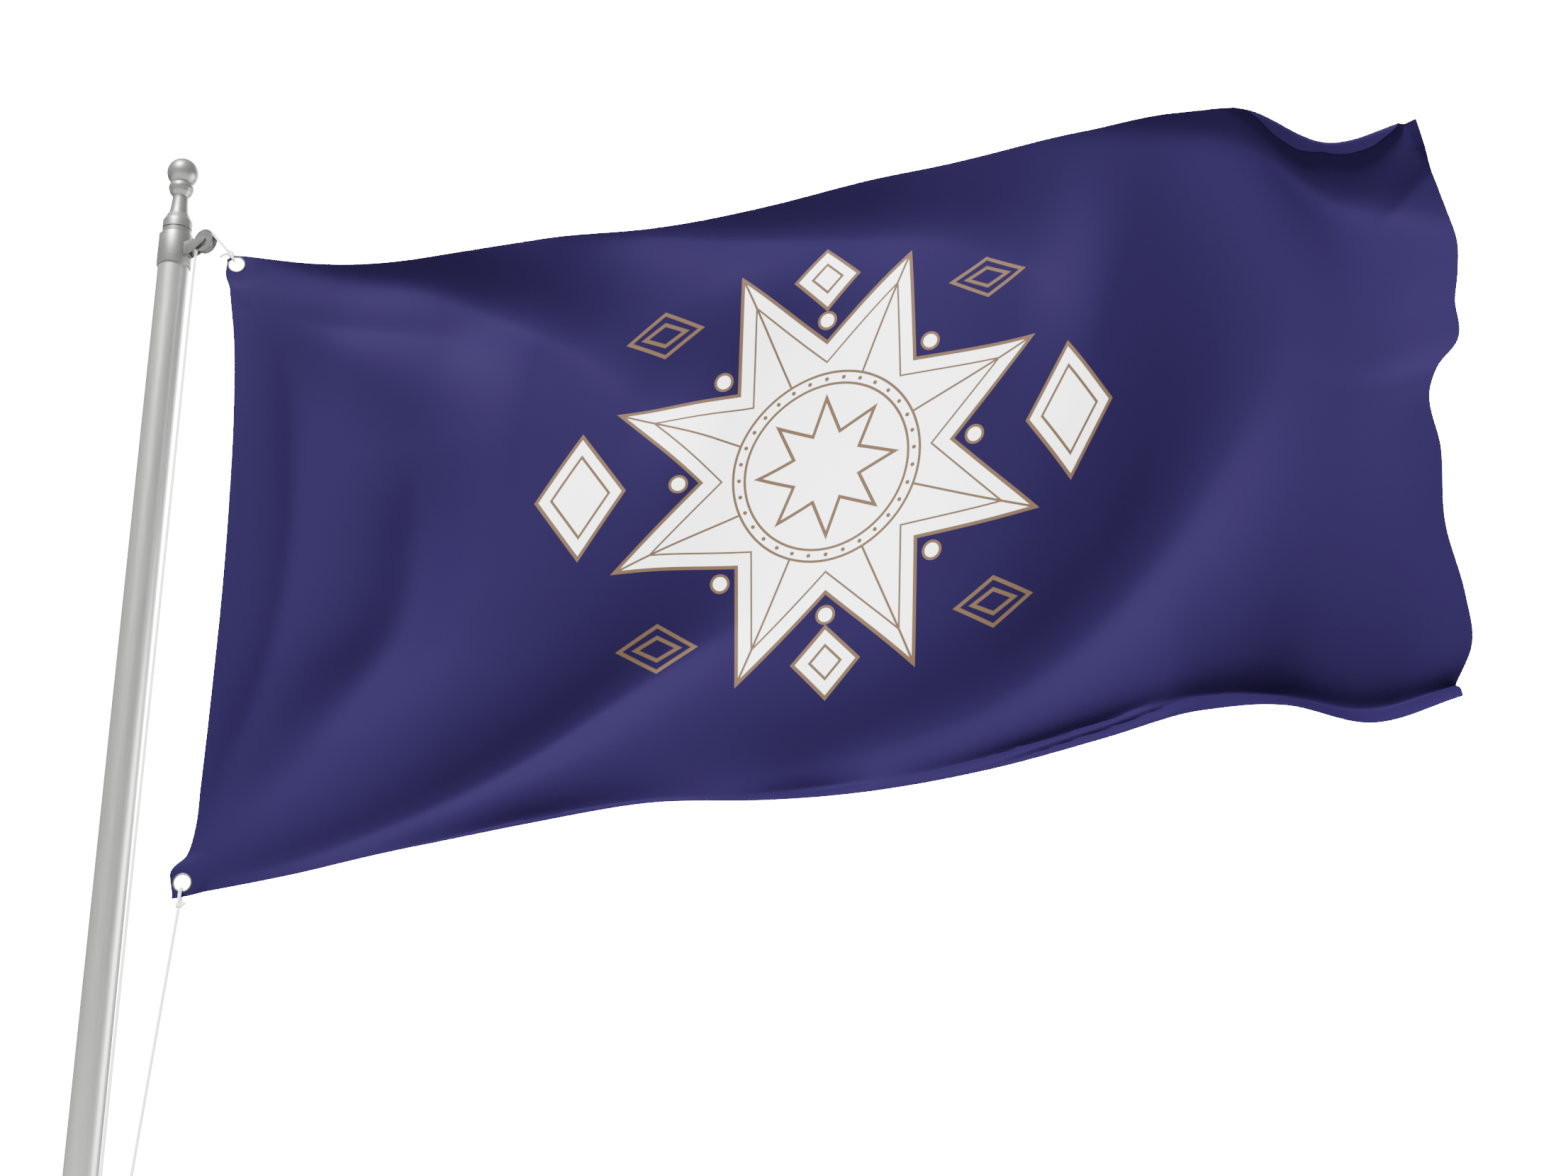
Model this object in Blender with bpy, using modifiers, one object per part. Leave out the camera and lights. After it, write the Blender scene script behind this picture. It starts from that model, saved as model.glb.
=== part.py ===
"""A two metre flag flying from the head of its pole: cloth, eyelets, halyard, pulley and finial.

Metres, +Z up. The origin is the middle of the pole's flat foot, and the flag flies towards +X.
"""
import math

import bmesh
import bpy
import numpy as np
from mathutils import Matrix, Vector

GAP = 0.0003                # clearance between pieces that touch
CUTTER_REACH = 0.06         # length of every cutter that goes right through
UNION_SINK = 0.001          # how far a piece is sunk into the one that it is joined to
EASE = 0.0006               # size of a small eased edge

# The cloth, as it was cut
FLY = 2.0                   # length, hoist to fly
HOIST = 1.0                 # height, head to foot
CLOTH = 0.0012              # thickness
FOOT_RISE = 0.747           # height of the low hoist corner over the pole's foot
FLY_CELLS = 58
DROP_CELLS = 30
EDGE_CROWDING = 0.55        # how much closer the weave lines lie by the head and the foot

# Folds take up a little of the cloth's length, so each edge spans this share of the fly
HOIST_OUT = 0.092           # the hoist corners' distance from the pole's axis
HEAD_SPAN = 0.928
FOOT_SPAN = 0.915

# Where the head and the foot of the cloth run, section by section along the fly: distance along
# the fly, then depth (y) and rise over the low hoist corner, for the head and for the foot
SECTIONS = [
    # fly   head y  head rise  foot y  foot rise
    (0.00, -0.035, 0.990, -0.035, 0.000),
    (0.18, -0.040, 0.985, -0.030, 0.035),
    (0.36, -0.050, 1.002, -0.030, 0.075),
    (0.54, -0.045, 1.023, -0.025, 0.110),
    (0.72, -0.035, 1.055, -0.015, 0.140),
    (0.90, -0.030, 1.095, -0.015, 0.145),
    (1.08, -0.025, 1.142, -0.015, 0.160),
    (1.26, -0.030, 1.175, -0.020, 0.190),
    (1.44, -0.020, 1.230, -0.015, 0.235),
    (1.60, 0.000, 1.280, -0.015, 0.278),
    (1.74, 0.005, 1.285, -0.030, 0.289),
    (1.87, 0.005, 1.222, -0.040, 0.261),
    (2.00, -0.030, 1.235, -0.050, 0.290),
]

# How far the two side edges stand off their straight lines: share of the drop, x, y
HOIST_EDGE = [
    (0.00, 0.000, 0.000),
    (0.08, 0.013, 0.000),
    (0.13, 0.021, 0.000),
    (0.26, 0.032, 0.000),
    (0.41, 0.037, 0.000),
    (0.57, 0.038, 0.000),
    (0.72, 0.035, 0.000),
    (0.84, 0.031, 0.000),
    (0.90, 0.029, 0.000),
    (0.93, 0.024, 0.000),
    (0.96, 0.012, 0.000),
    (1.00, 0.000, 0.000),
]
HOIST_REACH = 0.18          # distance along the fly over which the hoist's bow dies out
FLY_EDGE = [
    (0.00, 0.000, 0.000),
    (0.10, 0.042, 0.000),
    (0.20, 0.066, -0.005),
    (0.27, 0.056, -0.010),
    (0.33, 0.042, -0.015),
    (0.42, 0.030, -0.020),
    (0.455, 0.002, -0.020),
    (0.49, -0.012, -0.015),
    (0.60, -0.004, -0.010),
    (0.72, -0.005, 0.000),
    (0.84, 0.015, 0.000),
    (0.92, 0.020, 0.000),
    (0.97, 0.005, 0.000),
    (1.00, 0.000, 0.000),
]
FLY_REACH = 0.10

# Each fold is a valley, or a ridge where its depth is negative. Its line runs from start to end
# (fly, drop) and stands off that straight line by the bow, in even steps, as the depth is. It
# fades within above on the side towards the head or the hoist, and within below on the other, each
# given at the line's start and end. A small crisp value keeps that side steep right up to the line.
FOLDS = {
    "upper_tuck": dict(
        start=(-0.02, -0.005), end=(0.82, 0.40), bow=(0, -0.05, -0.10, -0.105, -0.085, -0.04, 0),
        depth=(0, 0.026, 0.054, 0.066, 0.062, 0.035, 0), above=(0.015, 0.13), below=(0.09, 0.20),
        crisp=(1.3, 0.2)),
    "top_shelf": dict(
        start=(0.52, 0.00), end=(1.46, 0.34), bow=(0, -0.05, -0.075, -0.10, -0.125, -0.095, 0),
        depth=(0, 0.026, 0.046, 0.054, 0.054, 0.038, 0), above=(0.04, 0.12), below=(0.06, 0.20),
        crisp=(1.1, 0.2)),
    "fly_shelf": dict(
        start=(1.22, -0.02), end=(2.08, 0.24), bow=(0, -0.03, -0.05, -0.07, -0.085, -0.065, 0.02),
        depth=(0, 0.010, 0.030, 0.055, 0.075, 0.070, 0.045), above=(0.05, 0.11), below=(0.08, 0.24),
        crisp=(0.6, 0.2)),
    "long_fold": dict(
        start=(0.70, 0.98), end=(1.74, 0.06), bow=(0, 0.15, 0.30, 0.37, 0.36, 0.27, 0),
        depth=(0, 0.028, 0.046, 0.056, 0.056, 0.036, 0), above=(0.06, 0.22), below=(0.09, 0.22),
        crisp=(0.8, 0.25)),
    "low_ray": dict(
        start=(0.02, 0.985), end=(0.96, 0.64), bow=(0, 0.05, 0.08, 0.085, 0.065, 0.035, 0),
        depth=(0, 0.010, 0.023, 0.034, 0.038, 0.028, 0), above=(0.03, 0.14), below=(0.03, 0.12),
        crisp=(0.5, 0.2)),
    "hoist_arc": dict(
        start=(0.02, 0.98), end=(0.02, 0.00), bow=(0, 0.145, 0.29, 0.32, 0.30, 0.205, 0),
        depth=(0, 0.018, 0.038, 0.040, 0.014, -0.012, 0), above=(0.08, 0.07), below=(0.12, 0.14),
        crisp=(0.8, 0.4)),
    "hoist_arc_inner": dict(
        start=(0.00, 0.98), end=(0.00, 0.00), bow=(0, 0.045, 0.10, 0.12, 0.115, 0.09, 0),
        depth=(0, 0.004, 0.008, 0.010, 0.009, 0.005, 0), above=(0.03, 0.03), below=(0.05, 0.05),
        crisp=(0.8, 0.5)),
    "middle": dict(
        start=(1.04, 0.90), end=(0.80, 0.14), bow=(0, 0, 0, 0, 0),
        depth=(0, 0.030, 0.045, 0.034, 0), above=(0.14, 0.14), below=(0.20, 0.20), crisp=(0.8, 0.8)),
    "foot_tuck": dict(
        start=(0.25, 1.00), end=(1.14, 0.985), bow=(0, 0, -0.005, 0, 0, -0.008, 0),
        depth=(0, 0.012, 0.024, 0.014, 0.002, 0.010, 0), above=(0.04, 0.06), below=(0.012, 0.018),
        crisp=(0.3, 0.2)),
    "foot_lip": dict(
        start=(1.02, 0.985), end=(2.06, 0.98), bow=(0, -0.008, -0.010, -0.012, -0.008, -0.012, -0.006),
        depth=(0, 0.002, 0.004, 0.013, 0.028, 0.024, 0.034), above=(0.02, 0.045), below=(0.012, 0.022),
        crisp=(0.3, 0.2)),
    "low_pocket": dict(
        start=(1.54, 0.99), end=(2.03, 0.98), bow=(0, -0.005, -0.01, -0.005, 0),
        depth=(0, 0.028, 0.062, 0.050, 0), above=(0.12, 0.15), below=(0.05, 0.05), crisp=(0.7, 0.5)),
}
FLANK_DECAY = 1.7           # how soon a fold's flank levels out

# Eyelets in the two hoist corners: centre as fly and drop
EYELET_UPPER = (0.0150, 0.0155)
EYELET_LOWER = (0.0160, 0.9800)
EYELET_BORE = 0.0110        # radius of the hole
EYELET_BARREL = 0.0118
EYELET_RIM = 0.0135
EYELET_FLANGE = 0.0008      # thickness of each flange
CLOTH_HOLE = 0.0122
CORNER_CUT = 0.0142         # the upper hoist corner is taken off this far from the eyelet's centre
FLAT_ROUND = 0.030          # the cloth is flat this far around an eyelet
FLAT_FADE = 0.065

# The pole and its head
POLE_RADIUS = 0.0235
SLEEVE_RADIUS = 0.0260
SLEEVE_FOOT = 1.7335
SLEEVE_HEAD = 1.7859
COLLAR_RADIUS = 0.0222
SEAM_RADIUS = 0.0208
SEAM_HEIGHT = 0.0010
CAP_FOOT = 1.7970
CAP_RADIUS = 0.0225
CAP_HEIGHT = 0.0135
FLARE_HEIGHT = 0.0265
FLARE_RADIUS = 0.0150
STEM_HEIGHT = 0.0557
STEM_RADIUS = 0.0120
KNOB_HEIGHT = 0.0720
KNOB_RADIUS = 0.0193
BALL_HEIGHT = 0.0996        # ball's centre over the cap's foot
BALL_RADIUS = 0.0240
WAIST_ANGLE = math.radians(-51)
ROUND_STEPS = 40

# The pulley bracket stands out from the sleeve on this bearing, from +X towards -Y
ARM_BEARING = math.radians(-25)
AXLE_OUT = 0.0600           # axle's distance from the pole's axis
AXLE_RISE = 1.7646
CHEEK_OUTER = 0.00915       # half the bracket's width
CHEEK_INNER = 0.00675
WEB_OUT = 0.0295
ROOT_RISE = 1.7570
ROOT_HALF_HEIGHT = 0.0110
CHEEK_NOSE = 0.0055
AXLE_RADIUS = 0.0030
AXLE_HALF = 0.0079
SHEAVE_RADIUS = 0.0185
SHEAVE_HALF = 0.00625
SHEAVE_LIP = 0.0046
GROOVE_RADIUS = 0.0140
GROOVE_HALF = 0.0020

# The halyard and the cleat that it is made fast on
ROPE = 0.0044               # rope's diameter
CLEAT_RISE = 0.1200
CLEAT_HALF = 0.0550
CLEAT_BAR = 0.0050
CLEAT_OUT = 0.0450
CLEAT_TIP_OUT = 0.0475
CLEAT_LEG = 0.0045
CLEAT_LEG_RISE = 0.0140
PAD_HALF_WIDTH = 0.0080
PAD_HALF_HEIGHT = 0.0240
PAD_OUT = 0.0275

# Ties, as (along the fly, up, out of the cloth) from the eyelet's centre
KNOT_RADIUS = 0.0052
TIE_STEP = 0.0030
UPPER_KNOT = (-0.0118, 0.0180, 0.0)
UPPER_LOOP = [
    (-0.0106, 0.0165, 0.0028),
    (-0.0084, 0.0128, 0.0049),
    (-0.0064, 0.0092, 0.0048),
    (-0.0049, 0.0070, 0.0028),
    (-0.0046, 0.0066, 0.0000),
]
UPPER_TAIL = [
    (-0.0128, 0.0175, 0.0010),
    (-0.0178, 0.0150, 0.0030),
    (-0.0218, 0.0125, 0.0035),
    (-0.0258, 0.0092, 0.0030),
]
LOWER_KNOT = (-0.0080, -0.0300, 0.0)
LOWER_LOOP = [
    (-0.0072, -0.0275, 0.0028),
    (-0.0060, -0.0225, 0.0044),
    (-0.0046, -0.0170, 0.0048),
    (-0.0030, -0.0110, 0.0048),
    (-0.0023, -0.0082, 0.0028),
    (-0.0020, -0.0077, 0.0000),
]
LOWER_TAIL = [
    (-0.0070, -0.0300, 0.0010),
    (-0.0030, -0.0310, 0.0030),
    (0.0010, -0.0290, 0.0038),
]

# The halyard below the pulley, as (out along the arm, aside, rise over the cleat's middle)
HALYARD_FALL = [
    (0.0413, -0.0008, 1.180),
    (0.0380, -0.0022, 0.380),
    (0.0373, -0.0026, 0.120),
    (0.0366, -0.0042, 0.062),
    (0.0355, -0.0080, 0.042),
    (0.0345, -0.0105, 0.026),
    (0.0340, -0.0115, 0.010),
    (0.0340, -0.0115, -0.008),
    (0.0338, -0.0100, -0.020),
    (0.0332, -0.0055, -0.029),
    (0.0332, 0.0015, -0.032),
    (0.0350, 0.0085, -0.028),
    (0.0400, 0.0125, -0.020),
    (0.0475, 0.0112, -0.012),
    (0.0535, 0.0050, -0.004),
    (0.0540, -0.0030, 0.004),
    (0.0508, -0.0100, 0.012),
    (0.0460, -0.0140, 0.020),
    (0.0425, -0.0130, 0.026),
    (0.0403, -0.0095, 0.031),
    (0.0372, -0.0025, 0.0355),
    (0.0366, 0.0040, 0.037),
    (0.0395, 0.0105, 0.036),
    (0.0460, 0.0120, 0.0365),
    (0.0530, 0.0088, 0.042),
    (0.0565, 0.0078, 0.053),
    (0.0590, 0.0100, 0.080),
]
ROUTE_STEP = 0.0085
WRAP_START = 36             # where the rope meets and leaves the sheave, in degrees from straight out
WRAP_END = 180
WRAP_STEPS = 8

FINISHES = {
    # colour, roughness, metallic
    "cloth": ((0.031, 0.026, 0.110), 0.55, 0.0),
    "satin_metal": ((0.60, 0.60, 0.58), 0.35, 0.8),
    "grey_metal": ((0.26, 0.26, 0.25), 0.45, 0.6),
    "rope": ((0.86, 0.86, 0.85), 0.80, 0.0),
    "ring_metal": ((0.33, 0.33, 0.31), 0.40, 0.7),
}


def clear_scene():
    for item in list(bpy.data.objects):
        bpy.data.objects.remove(item, do_unlink=True)


def make_collection(name):
    group = bpy.data.collections.new(name)
    bpy.context.scene.collection.children.link(group)
    return group


def make_finish(name):
    colour, roughness, metallic = FINISHES[name]
    finish = bpy.data.materials.new(name)
    finish.use_nodes = True
    shader = finish.node_tree.nodes["Principled BSDF"]
    shader.inputs["Base Color"].default_value = (*colour, 1.0)
    shader.inputs["Roughness"].default_value = roughness
    shader.inputs["Metallic"].default_value = metallic
    finish.diffuse_color = (*colour, 1.0)
    return finish


def link_piece(name, data, group, finish=None):
    piece = bpy.data.objects.new(name, data)
    group.objects.link(piece)
    if finish:
        data.materials.append(finish)
    return piece


def smooth_round(piece):
    piece.data.shade_smooth()
    piece.data.set_sharp_from_angle(angle=math.radians(35))


# The cloth's surface

def through(at, values, where):
    """Smooth curve through values that stand at uneven places."""
    at = np.asarray(at, float)
    values = np.asarray(values, float)
    slopes = np.gradient(values, at)
    low = np.clip(np.searchsorted(at, where, side="right") - 1, 0, len(at) - 2)
    width = at[low + 1] - at[low]
    return hermite(values, slopes, low, width, (where - at[low]) / width)


def evenly(values, share, level_ends=False):
    """Smooth curve through values at even steps of a share from 0 to 1, straight beyond."""
    values = np.asarray(values, float)
    step = 1 / (len(values) - 1)
    slopes = np.gradient(values, step)
    if level_ends:
        slopes[0] = slopes[-1] = 0
    place = np.clip(share, 0, 1) / step
    low = np.minimum(place.astype(int), len(values) - 2)
    inside = hermite(values, slopes, low, step, place - low)
    return inside + np.minimum(share, 0) * slopes[0] + np.maximum(share - 1, 0) * slopes[-1]


def hermite(values, slopes, low, width, t):
    start = (2 * t**3 - 3 * t**2 + 1) * values[low] + (t**3 - 2 * t**2 + t) * width * slopes[low]
    end = (-2 * t**3 + 3 * t**2) * values[low + 1] + (t**3 - t**2) * width * slopes[low + 1]
    return start + end


def fold_depth(fly, drop, fold):
    """How far one fold sets the cloth back."""
    start = np.array(fold["start"])
    run = np.array(fold["end"]) - start
    length = np.hypot(*run)
    along = run / length
    share = ((fly - start[0]) * along[0] + (drop - start[1]) * along[1]) / length
    aside = along[0] * (drop - start[1]) - along[1] * (fly - start[0])
    nudge = 0.02
    rise = evenly(fold["bow"], share + nudge) - evenly(fold["bow"], share - nudge)
    slant = rise / (2 * nudge * length)
    off = (aside - evenly(fold["bow"], share)) / np.sqrt(1 + slant**2)
    t = np.clip(share, 0, 1)
    flanks = []
    for width, crisp in zip((fold["above"], fold["below"]), fold["crisp"]):
        away = off / (width[0] * (1 - t) + width[1] * t)
        flanks.append(np.exp(-FLANK_DECAY * (np.hypot(away, crisp) - crisp)))
    return evenly(fold["depth"], share, True) * np.where(off < 0, flanks[0], flanks[1])


def folded(fly, drop):
    """Places on the folded cloth, before it is flattened round the eyelets."""
    sections = np.array(SECTIONS)
    head_y, head_z, foot_y, foot_z = (through(sections[:, 0], sections[:, k], fly) for k in range(1, 5))
    share = drop / HOIST
    x = HOIST_OUT + fly * (HEAD_SPAN * (1 - share) + FOOT_SPAN * share)
    y = head_y * (1 - share) + foot_y * share
    z = head_z * (1 - share) + foot_z * share + FOOT_RISE
    for edge, fade in ((HOIST_EDGE, np.exp(-fly / HOIST_REACH)), (FLY_EDGE, np.exp((fly - FLY) / FLY_REACH))):
        rows = np.array(edge)
        x = x + through(rows[:, 0], rows[:, 1], share) * fade
        y = y + through(rows[:, 0], rows[:, 2], share) * fade
    for fold in FOLDS.values():
        y = y + fold_depth(fly, drop, fold)
    return np.stack([x, y, z], axis=-1)


def eyelet_frame(eyelet):
    """Centre of an eyelet and the directions along the fly, down the drop and out of the cloth."""
    fly, drop = (np.array([value]) for value in eyelet)
    nudge = 0.004
    centre = folded(fly, drop)[0]
    along = folded(fly + nudge, drop)[0] - folded(fly - nudge, drop)[0]
    along /= np.linalg.norm(along)
    down = folded(fly, drop + nudge)[0] - folded(fly, drop - nudge)[0]
    down -= along * along.dot(down)
    down /= np.linalg.norm(down)
    return Vector(centre), Vector(along), Vector(down), Vector(np.cross(down, along))


def cloth_places(fly, drop):
    """Places on the cloth, flat round each eyelet."""
    places = folded(fly, drop)
    for eyelet in (EYELET_UPPER, EYELET_LOWER):
        centre, along, down, _ = (np.array(v) for v in eyelet_frame(eyelet))
        a, b = fly - eyelet[0], drop - eyelet[1]
        flat = centre + a[..., None] * along + b[..., None] * down
        fade = np.clip((FLAT_FADE - np.hypot(a, b)) / (FLAT_FADE - FLAT_ROUND), 0, 1)[..., None]
        fade = fade * fade * (3 - 2 * fade)
        places = places * (1 - fade) + flat * fade
    return places


def crowded(share):
    """Even steps drawn closer together towards both ends."""
    return share - EDGE_CROWDING * math.sin(2 * math.pi * share) / (2 * math.pi)


def make_flag(group, cutters, finish):
    bpy.ops.mesh.primitive_grid_add(x_subdivisions=FLY_CELLS, y_subdivisions=DROP_CELLS, size=1)
    flag = bpy.context.object
    flag.name = flag.data.name = "flag"
    corners = flag.data.vertices
    fly = np.array([(v.co.x + 0.5) * FLY for v in corners])
    drop = np.array([crowded(0.5 - v.co.y) * HOIST for v in corners])
    for corner, place in zip(corners, cloth_places(fly, drop)):
        corner.co = place
    for owner in list(flag.users_collection):
        owner.objects.unlink(flag)
    group.objects.link(flag)
    flag.data.materials.append(finish)
    flag.data.shade_smooth()
    thicken = flag.modifiers.new("Thickness", "SOLIDIFY")
    thicken.thickness = CLOTH
    thicken.offset = 0
    for name, eyelet in (("upper", EYELET_UPPER), ("lower", EYELET_LOWER)):
        punch = cylinder(f"{name}_punch", CLOTH_HOLE, CUTTER_REACH, cutters, None, steps=24)
        punch.matrix_world = eyelet_matrix(eyelet)
        cut(flag, punch)
    waste = 0.02
    corner = box("corner_trim", (waste, CUTTER_REACH, CUTTER_REACH), cutters)
    corner.matrix_world = (
        eyelet_matrix(EYELET_UPPER) @ Matrix.Rotation(math.radians(135), 4, "Z")
        @ Matrix.Translation((CORNER_CUT + waste / 2, 0, 0)))
    cut(flag, corner)
    return flag


def make_eyelet(name, eyelet, group, finish):
    half = CLOTH / 2 + GAP
    upper = [
        (EYELET_BARREL, half),
        (EYELET_RIM, half),
        (EYELET_RIM, half + EYELET_FLANGE - EASE / 2),
        (EYELET_RIM - EASE, half + EYELET_FLANGE),
        (EYELET_BORE + EASE / 2, half + EYELET_FLANGE),
        (EYELET_BORE, half + EYELET_FLANGE * 0.5),
    ]
    lower = [(radius, -rise) for radius, rise in reversed(upper)]
    ring = turned(name, list(reversed(upper + lower)), group, finish, steps=28, closed=True)
    ring.matrix_world = eyelet_matrix(eyelet)
    return ring


# Solids of revolution and other shared shapes

def eyelet_matrix(eyelet):
    centre, along, down, out = eyelet_frame(eyelet)
    turn = Matrix((along, -down, out)).transposed()
    return Matrix.Translation(centre) @ turn.to_4x4()


def turned(name, profile, group, finish, steps=ROUND_STEPS, closed=False):
    """A profile of (radius, height) turned round +Z."""
    mesh = bpy.data.meshes.new(name)
    shape = bmesh.new()
    corners = [shape.verts.new((radius, 0, height)) for radius, height in profile]
    for a, b in zip(corners, corners[1:]):
        shape.edges.new((a, b))
    if closed:
        shape.edges.new((corners[-1], corners[0]))
    shape.to_mesh(mesh)
    shape.free()
    piece = link_piece(name, mesh, group, finish)
    turn = piece.modifiers.new("Turn", "SCREW")
    turn.steps = turn.render_steps = steps
    turn.use_merge_vertices = True
    turn.merge_threshold = 0.00001
    turn.use_smooth_shade = True
    return piece


def cylinder(name, radius, depth, group, finish, steps=ROUND_STEPS):
    mesh = bpy.data.meshes.new(name)
    shape = bmesh.new()
    bmesh.ops.create_cone(shape, cap_ends=True, segments=steps, radius1=radius, radius2=radius, depth=depth)
    shape.to_mesh(mesh)
    shape.free()
    piece = link_piece(name, mesh, group, finish)
    if finish:
        smooth_round(piece)
    return piece


def box(name, size, group, finish=None):
    mesh = bpy.data.meshes.new(name)
    shape = bmesh.new()
    bmesh.ops.create_cube(shape, size=1, matrix=Matrix.Diagonal((*size, 1)))
    shape.to_mesh(mesh)
    shape.free()
    return link_piece(name, mesh, group, finish)


def cut(piece, cutter, operation="DIFFERENCE"):
    cutter.hide_render = True
    cutter.display_type = "WIRE"
    change = piece.modifiers.new(cutter.name, "BOOLEAN")
    change.operation = operation
    change.object = cutter


def arm_place(out, aside, rise):
    """Place by distance out along the arm's bearing, distance aside and height."""
    c, s = math.cos(ARM_BEARING), math.sin(ARM_BEARING)
    return Vector((out * c - aside * s, out * s + aside * c, rise))


def arm_matrix(out, aside, rise):
    return Matrix.Translation(arm_place(out, aside, rise)) @ Matrix.Rotation(ARM_BEARING, 4, "Z")


# The pole and its head

def make_pole(group, finish):
    rise = SLEEVE_HEAD - GAP
    pole = cylinder("pole", POLE_RADIUS, rise, group, finish, steps=48)
    pole.location = (0, 0, rise / 2)
    return pole


def make_sleeve(group, finish):
    inner = POLE_RADIUS + GAP
    profile = [
        (SLEEVE_RADIUS - EASE, SLEEVE_HEAD),
        (SLEEVE_RADIUS, SLEEVE_HEAD - EASE),
        (SLEEVE_RADIUS, SLEEVE_FOOT + EASE),
        (SLEEVE_RADIUS - EASE, SLEEVE_FOOT),
        (inner, SLEEVE_FOOT),
        (inner, SLEEVE_HEAD),
    ]
    return turned("truck_sleeve", profile, group, finish, steps=48, closed=True)


def make_collar(group, finish):
    shoulder = CAP_FOOT - GAP - SEAM_HEIGHT
    profile = [
        (0, CAP_FOOT - GAP),
        (SEAM_RADIUS, CAP_FOOT - GAP),
        (SEAM_RADIUS, shoulder),
        (COLLAR_RADIUS, shoulder),
        (COLLAR_RADIUS, SLEEVE_HEAD),
        (0, SLEEVE_HEAD),
    ]
    return turned("truck_collar", profile, group, finish)


def make_finial(group, finish):
    ball = []
    ball_steps = 10
    for k in range(ball_steps + 1):
        angle = math.pi / 2 + (WAIST_ANGLE - math.pi / 2) * k / ball_steps
        ball.append((BALL_RADIUS * math.cos(angle), BALL_HEIGHT + BALL_RADIUS * math.sin(angle)))
    ball[0] = (0, BALL_HEIGHT + BALL_RADIUS)
    turned_part = [
        (KNOB_RADIUS - 0.0024, KNOB_HEIGHT + 0.0075),
        (KNOB_RADIUS - 0.0004, KNOB_HEIGHT + 0.0030),
        (KNOB_RADIUS, KNOB_HEIGHT),
        (KNOB_RADIUS - 0.0020, KNOB_HEIGHT - 0.0060),
        (STEM_RADIUS + 0.0016, STEM_HEIGHT + 0.0040),
        (STEM_RADIUS, STEM_HEIGHT),
        (FLARE_RADIUS, FLARE_HEIGHT),
        (FLARE_RADIUS + 0.0016, FLARE_HEIGHT - 0.0010),
        (CAP_RADIUS - 0.0012, CAP_HEIGHT + 0.0020),
        (CAP_RADIUS, CAP_HEIGHT),
        (CAP_RADIUS, 0),
        (0, 0),
    ]
    profile = [(radius, height + CAP_FOOT) for radius, height in ball + turned_part]
    return turned("finial", profile, group, finish)


# The pulley

def cheek_outline():
    """Side view of the bracket as (out, rise), counted from the pole's axis and the axle's height."""
    root_low = ROOT_RISE - ROOT_HALF_HEIGHT - AXLE_RISE
    root_high = ROOT_RISE + ROOT_HALF_HEIGHT - AXLE_RISE
    inside = POLE_RADIUS
    nose_steps, belly_steps, belly_sag = 8, 5, 0.0035
    nose = []
    for k in range(nose_steps + 1):
        angle = math.pi / 2 - math.pi * k / nose_steps
        nose.append((AXLE_OUT + CHEEK_NOSE * math.cos(angle), CHEEK_NOSE * math.sin(angle)))
    belly = []
    for k in range(1, belly_steps):
        share = k / belly_steps
        rise = -CHEEK_NOSE + (root_low + CHEEK_NOSE) * share - belly_sag * math.sin(math.pi * share)
        belly.append((AXLE_OUT + (inside - AXLE_OUT) * share, rise))
    return [(inside, root_low), (inside, root_high)] + nose + belly


def make_bracket(group, cutters, finish):
    mesh = bpy.data.meshes.new("pulley_bracket")
    shape = bmesh.new()
    corners = [shape.verts.new((out, -CHEEK_OUTER, rise)) for out, rise in cheek_outline()]
    side = shape.faces.new(corners)
    width = bmesh.ops.extrude_face_region(shape, geom=[side])
    bmesh.ops.translate(
        shape, vec=(0, 2 * CHEEK_OUTER, 0),
        verts=[item for item in width["geom"] if isinstance(item, bmesh.types.BMVert)])
    bmesh.ops.recalc_face_normals(shape, faces=shape.faces)
    shape.to_mesh(mesh)
    shape.free()
    bracket = link_piece("pulley_bracket", mesh, group, finish)
    bracket.matrix_world = arm_matrix(0, 0, AXLE_RISE)

    fork = box("fork_cutter", (CUTTER_REACH, 2 * CHEEK_INNER, CUTTER_REACH), cutters)
    fork.matrix_world = arm_matrix(WEB_OUT + CUTTER_REACH / 2, 0, AXLE_RISE)
    cut(bracket, fork)
    seat = cylinder("sleeve_cutter", SLEEVE_RADIUS + GAP, CUTTER_REACH, cutters, None, steps=48)
    seat.location = (0, 0, ROOT_RISE)
    cut(bracket, seat)
    bore = cylinder("axle_cutter", AXLE_RADIUS + GAP, 2 * (AXLE_HALF + GAP), cutters, None, steps=24)
    bore.matrix_world = axle_matrix()
    cut(bracket, bore)
    return bracket


def axle_matrix():
    return arm_matrix(AXLE_OUT, 0, AXLE_RISE) @ Matrix.Rotation(math.pi / 2, 4, "X")


def make_axle(group, finish):
    axle = cylinder("axle_pin", AXLE_RADIUS, 2 * AXLE_HALF, group, finish, steps=24)
    axle.matrix_world = axle_matrix()
    return axle


def make_sheave(group, finish):
    bore = AXLE_RADIUS + GAP
    upper = [
        (bore, SHEAVE_HALF),
        (SHEAVE_RADIUS - EASE, SHEAVE_HALF),
        (SHEAVE_RADIUS, SHEAVE_HALF - EASE),
        (SHEAVE_RADIUS, SHEAVE_LIP),
        (GROOVE_RADIUS + 0.0004, GROOVE_HALF),
    ]
    lower = [(radius, -half) for radius, half in reversed(upper)]
    profile = upper + [(GROOVE_RADIUS, 0)] + lower
    sheave = turned("sheave", profile, group, finish, steps=36, closed=True)
    sheave.matrix_world = axle_matrix()
    return sheave


# The cleat

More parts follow.
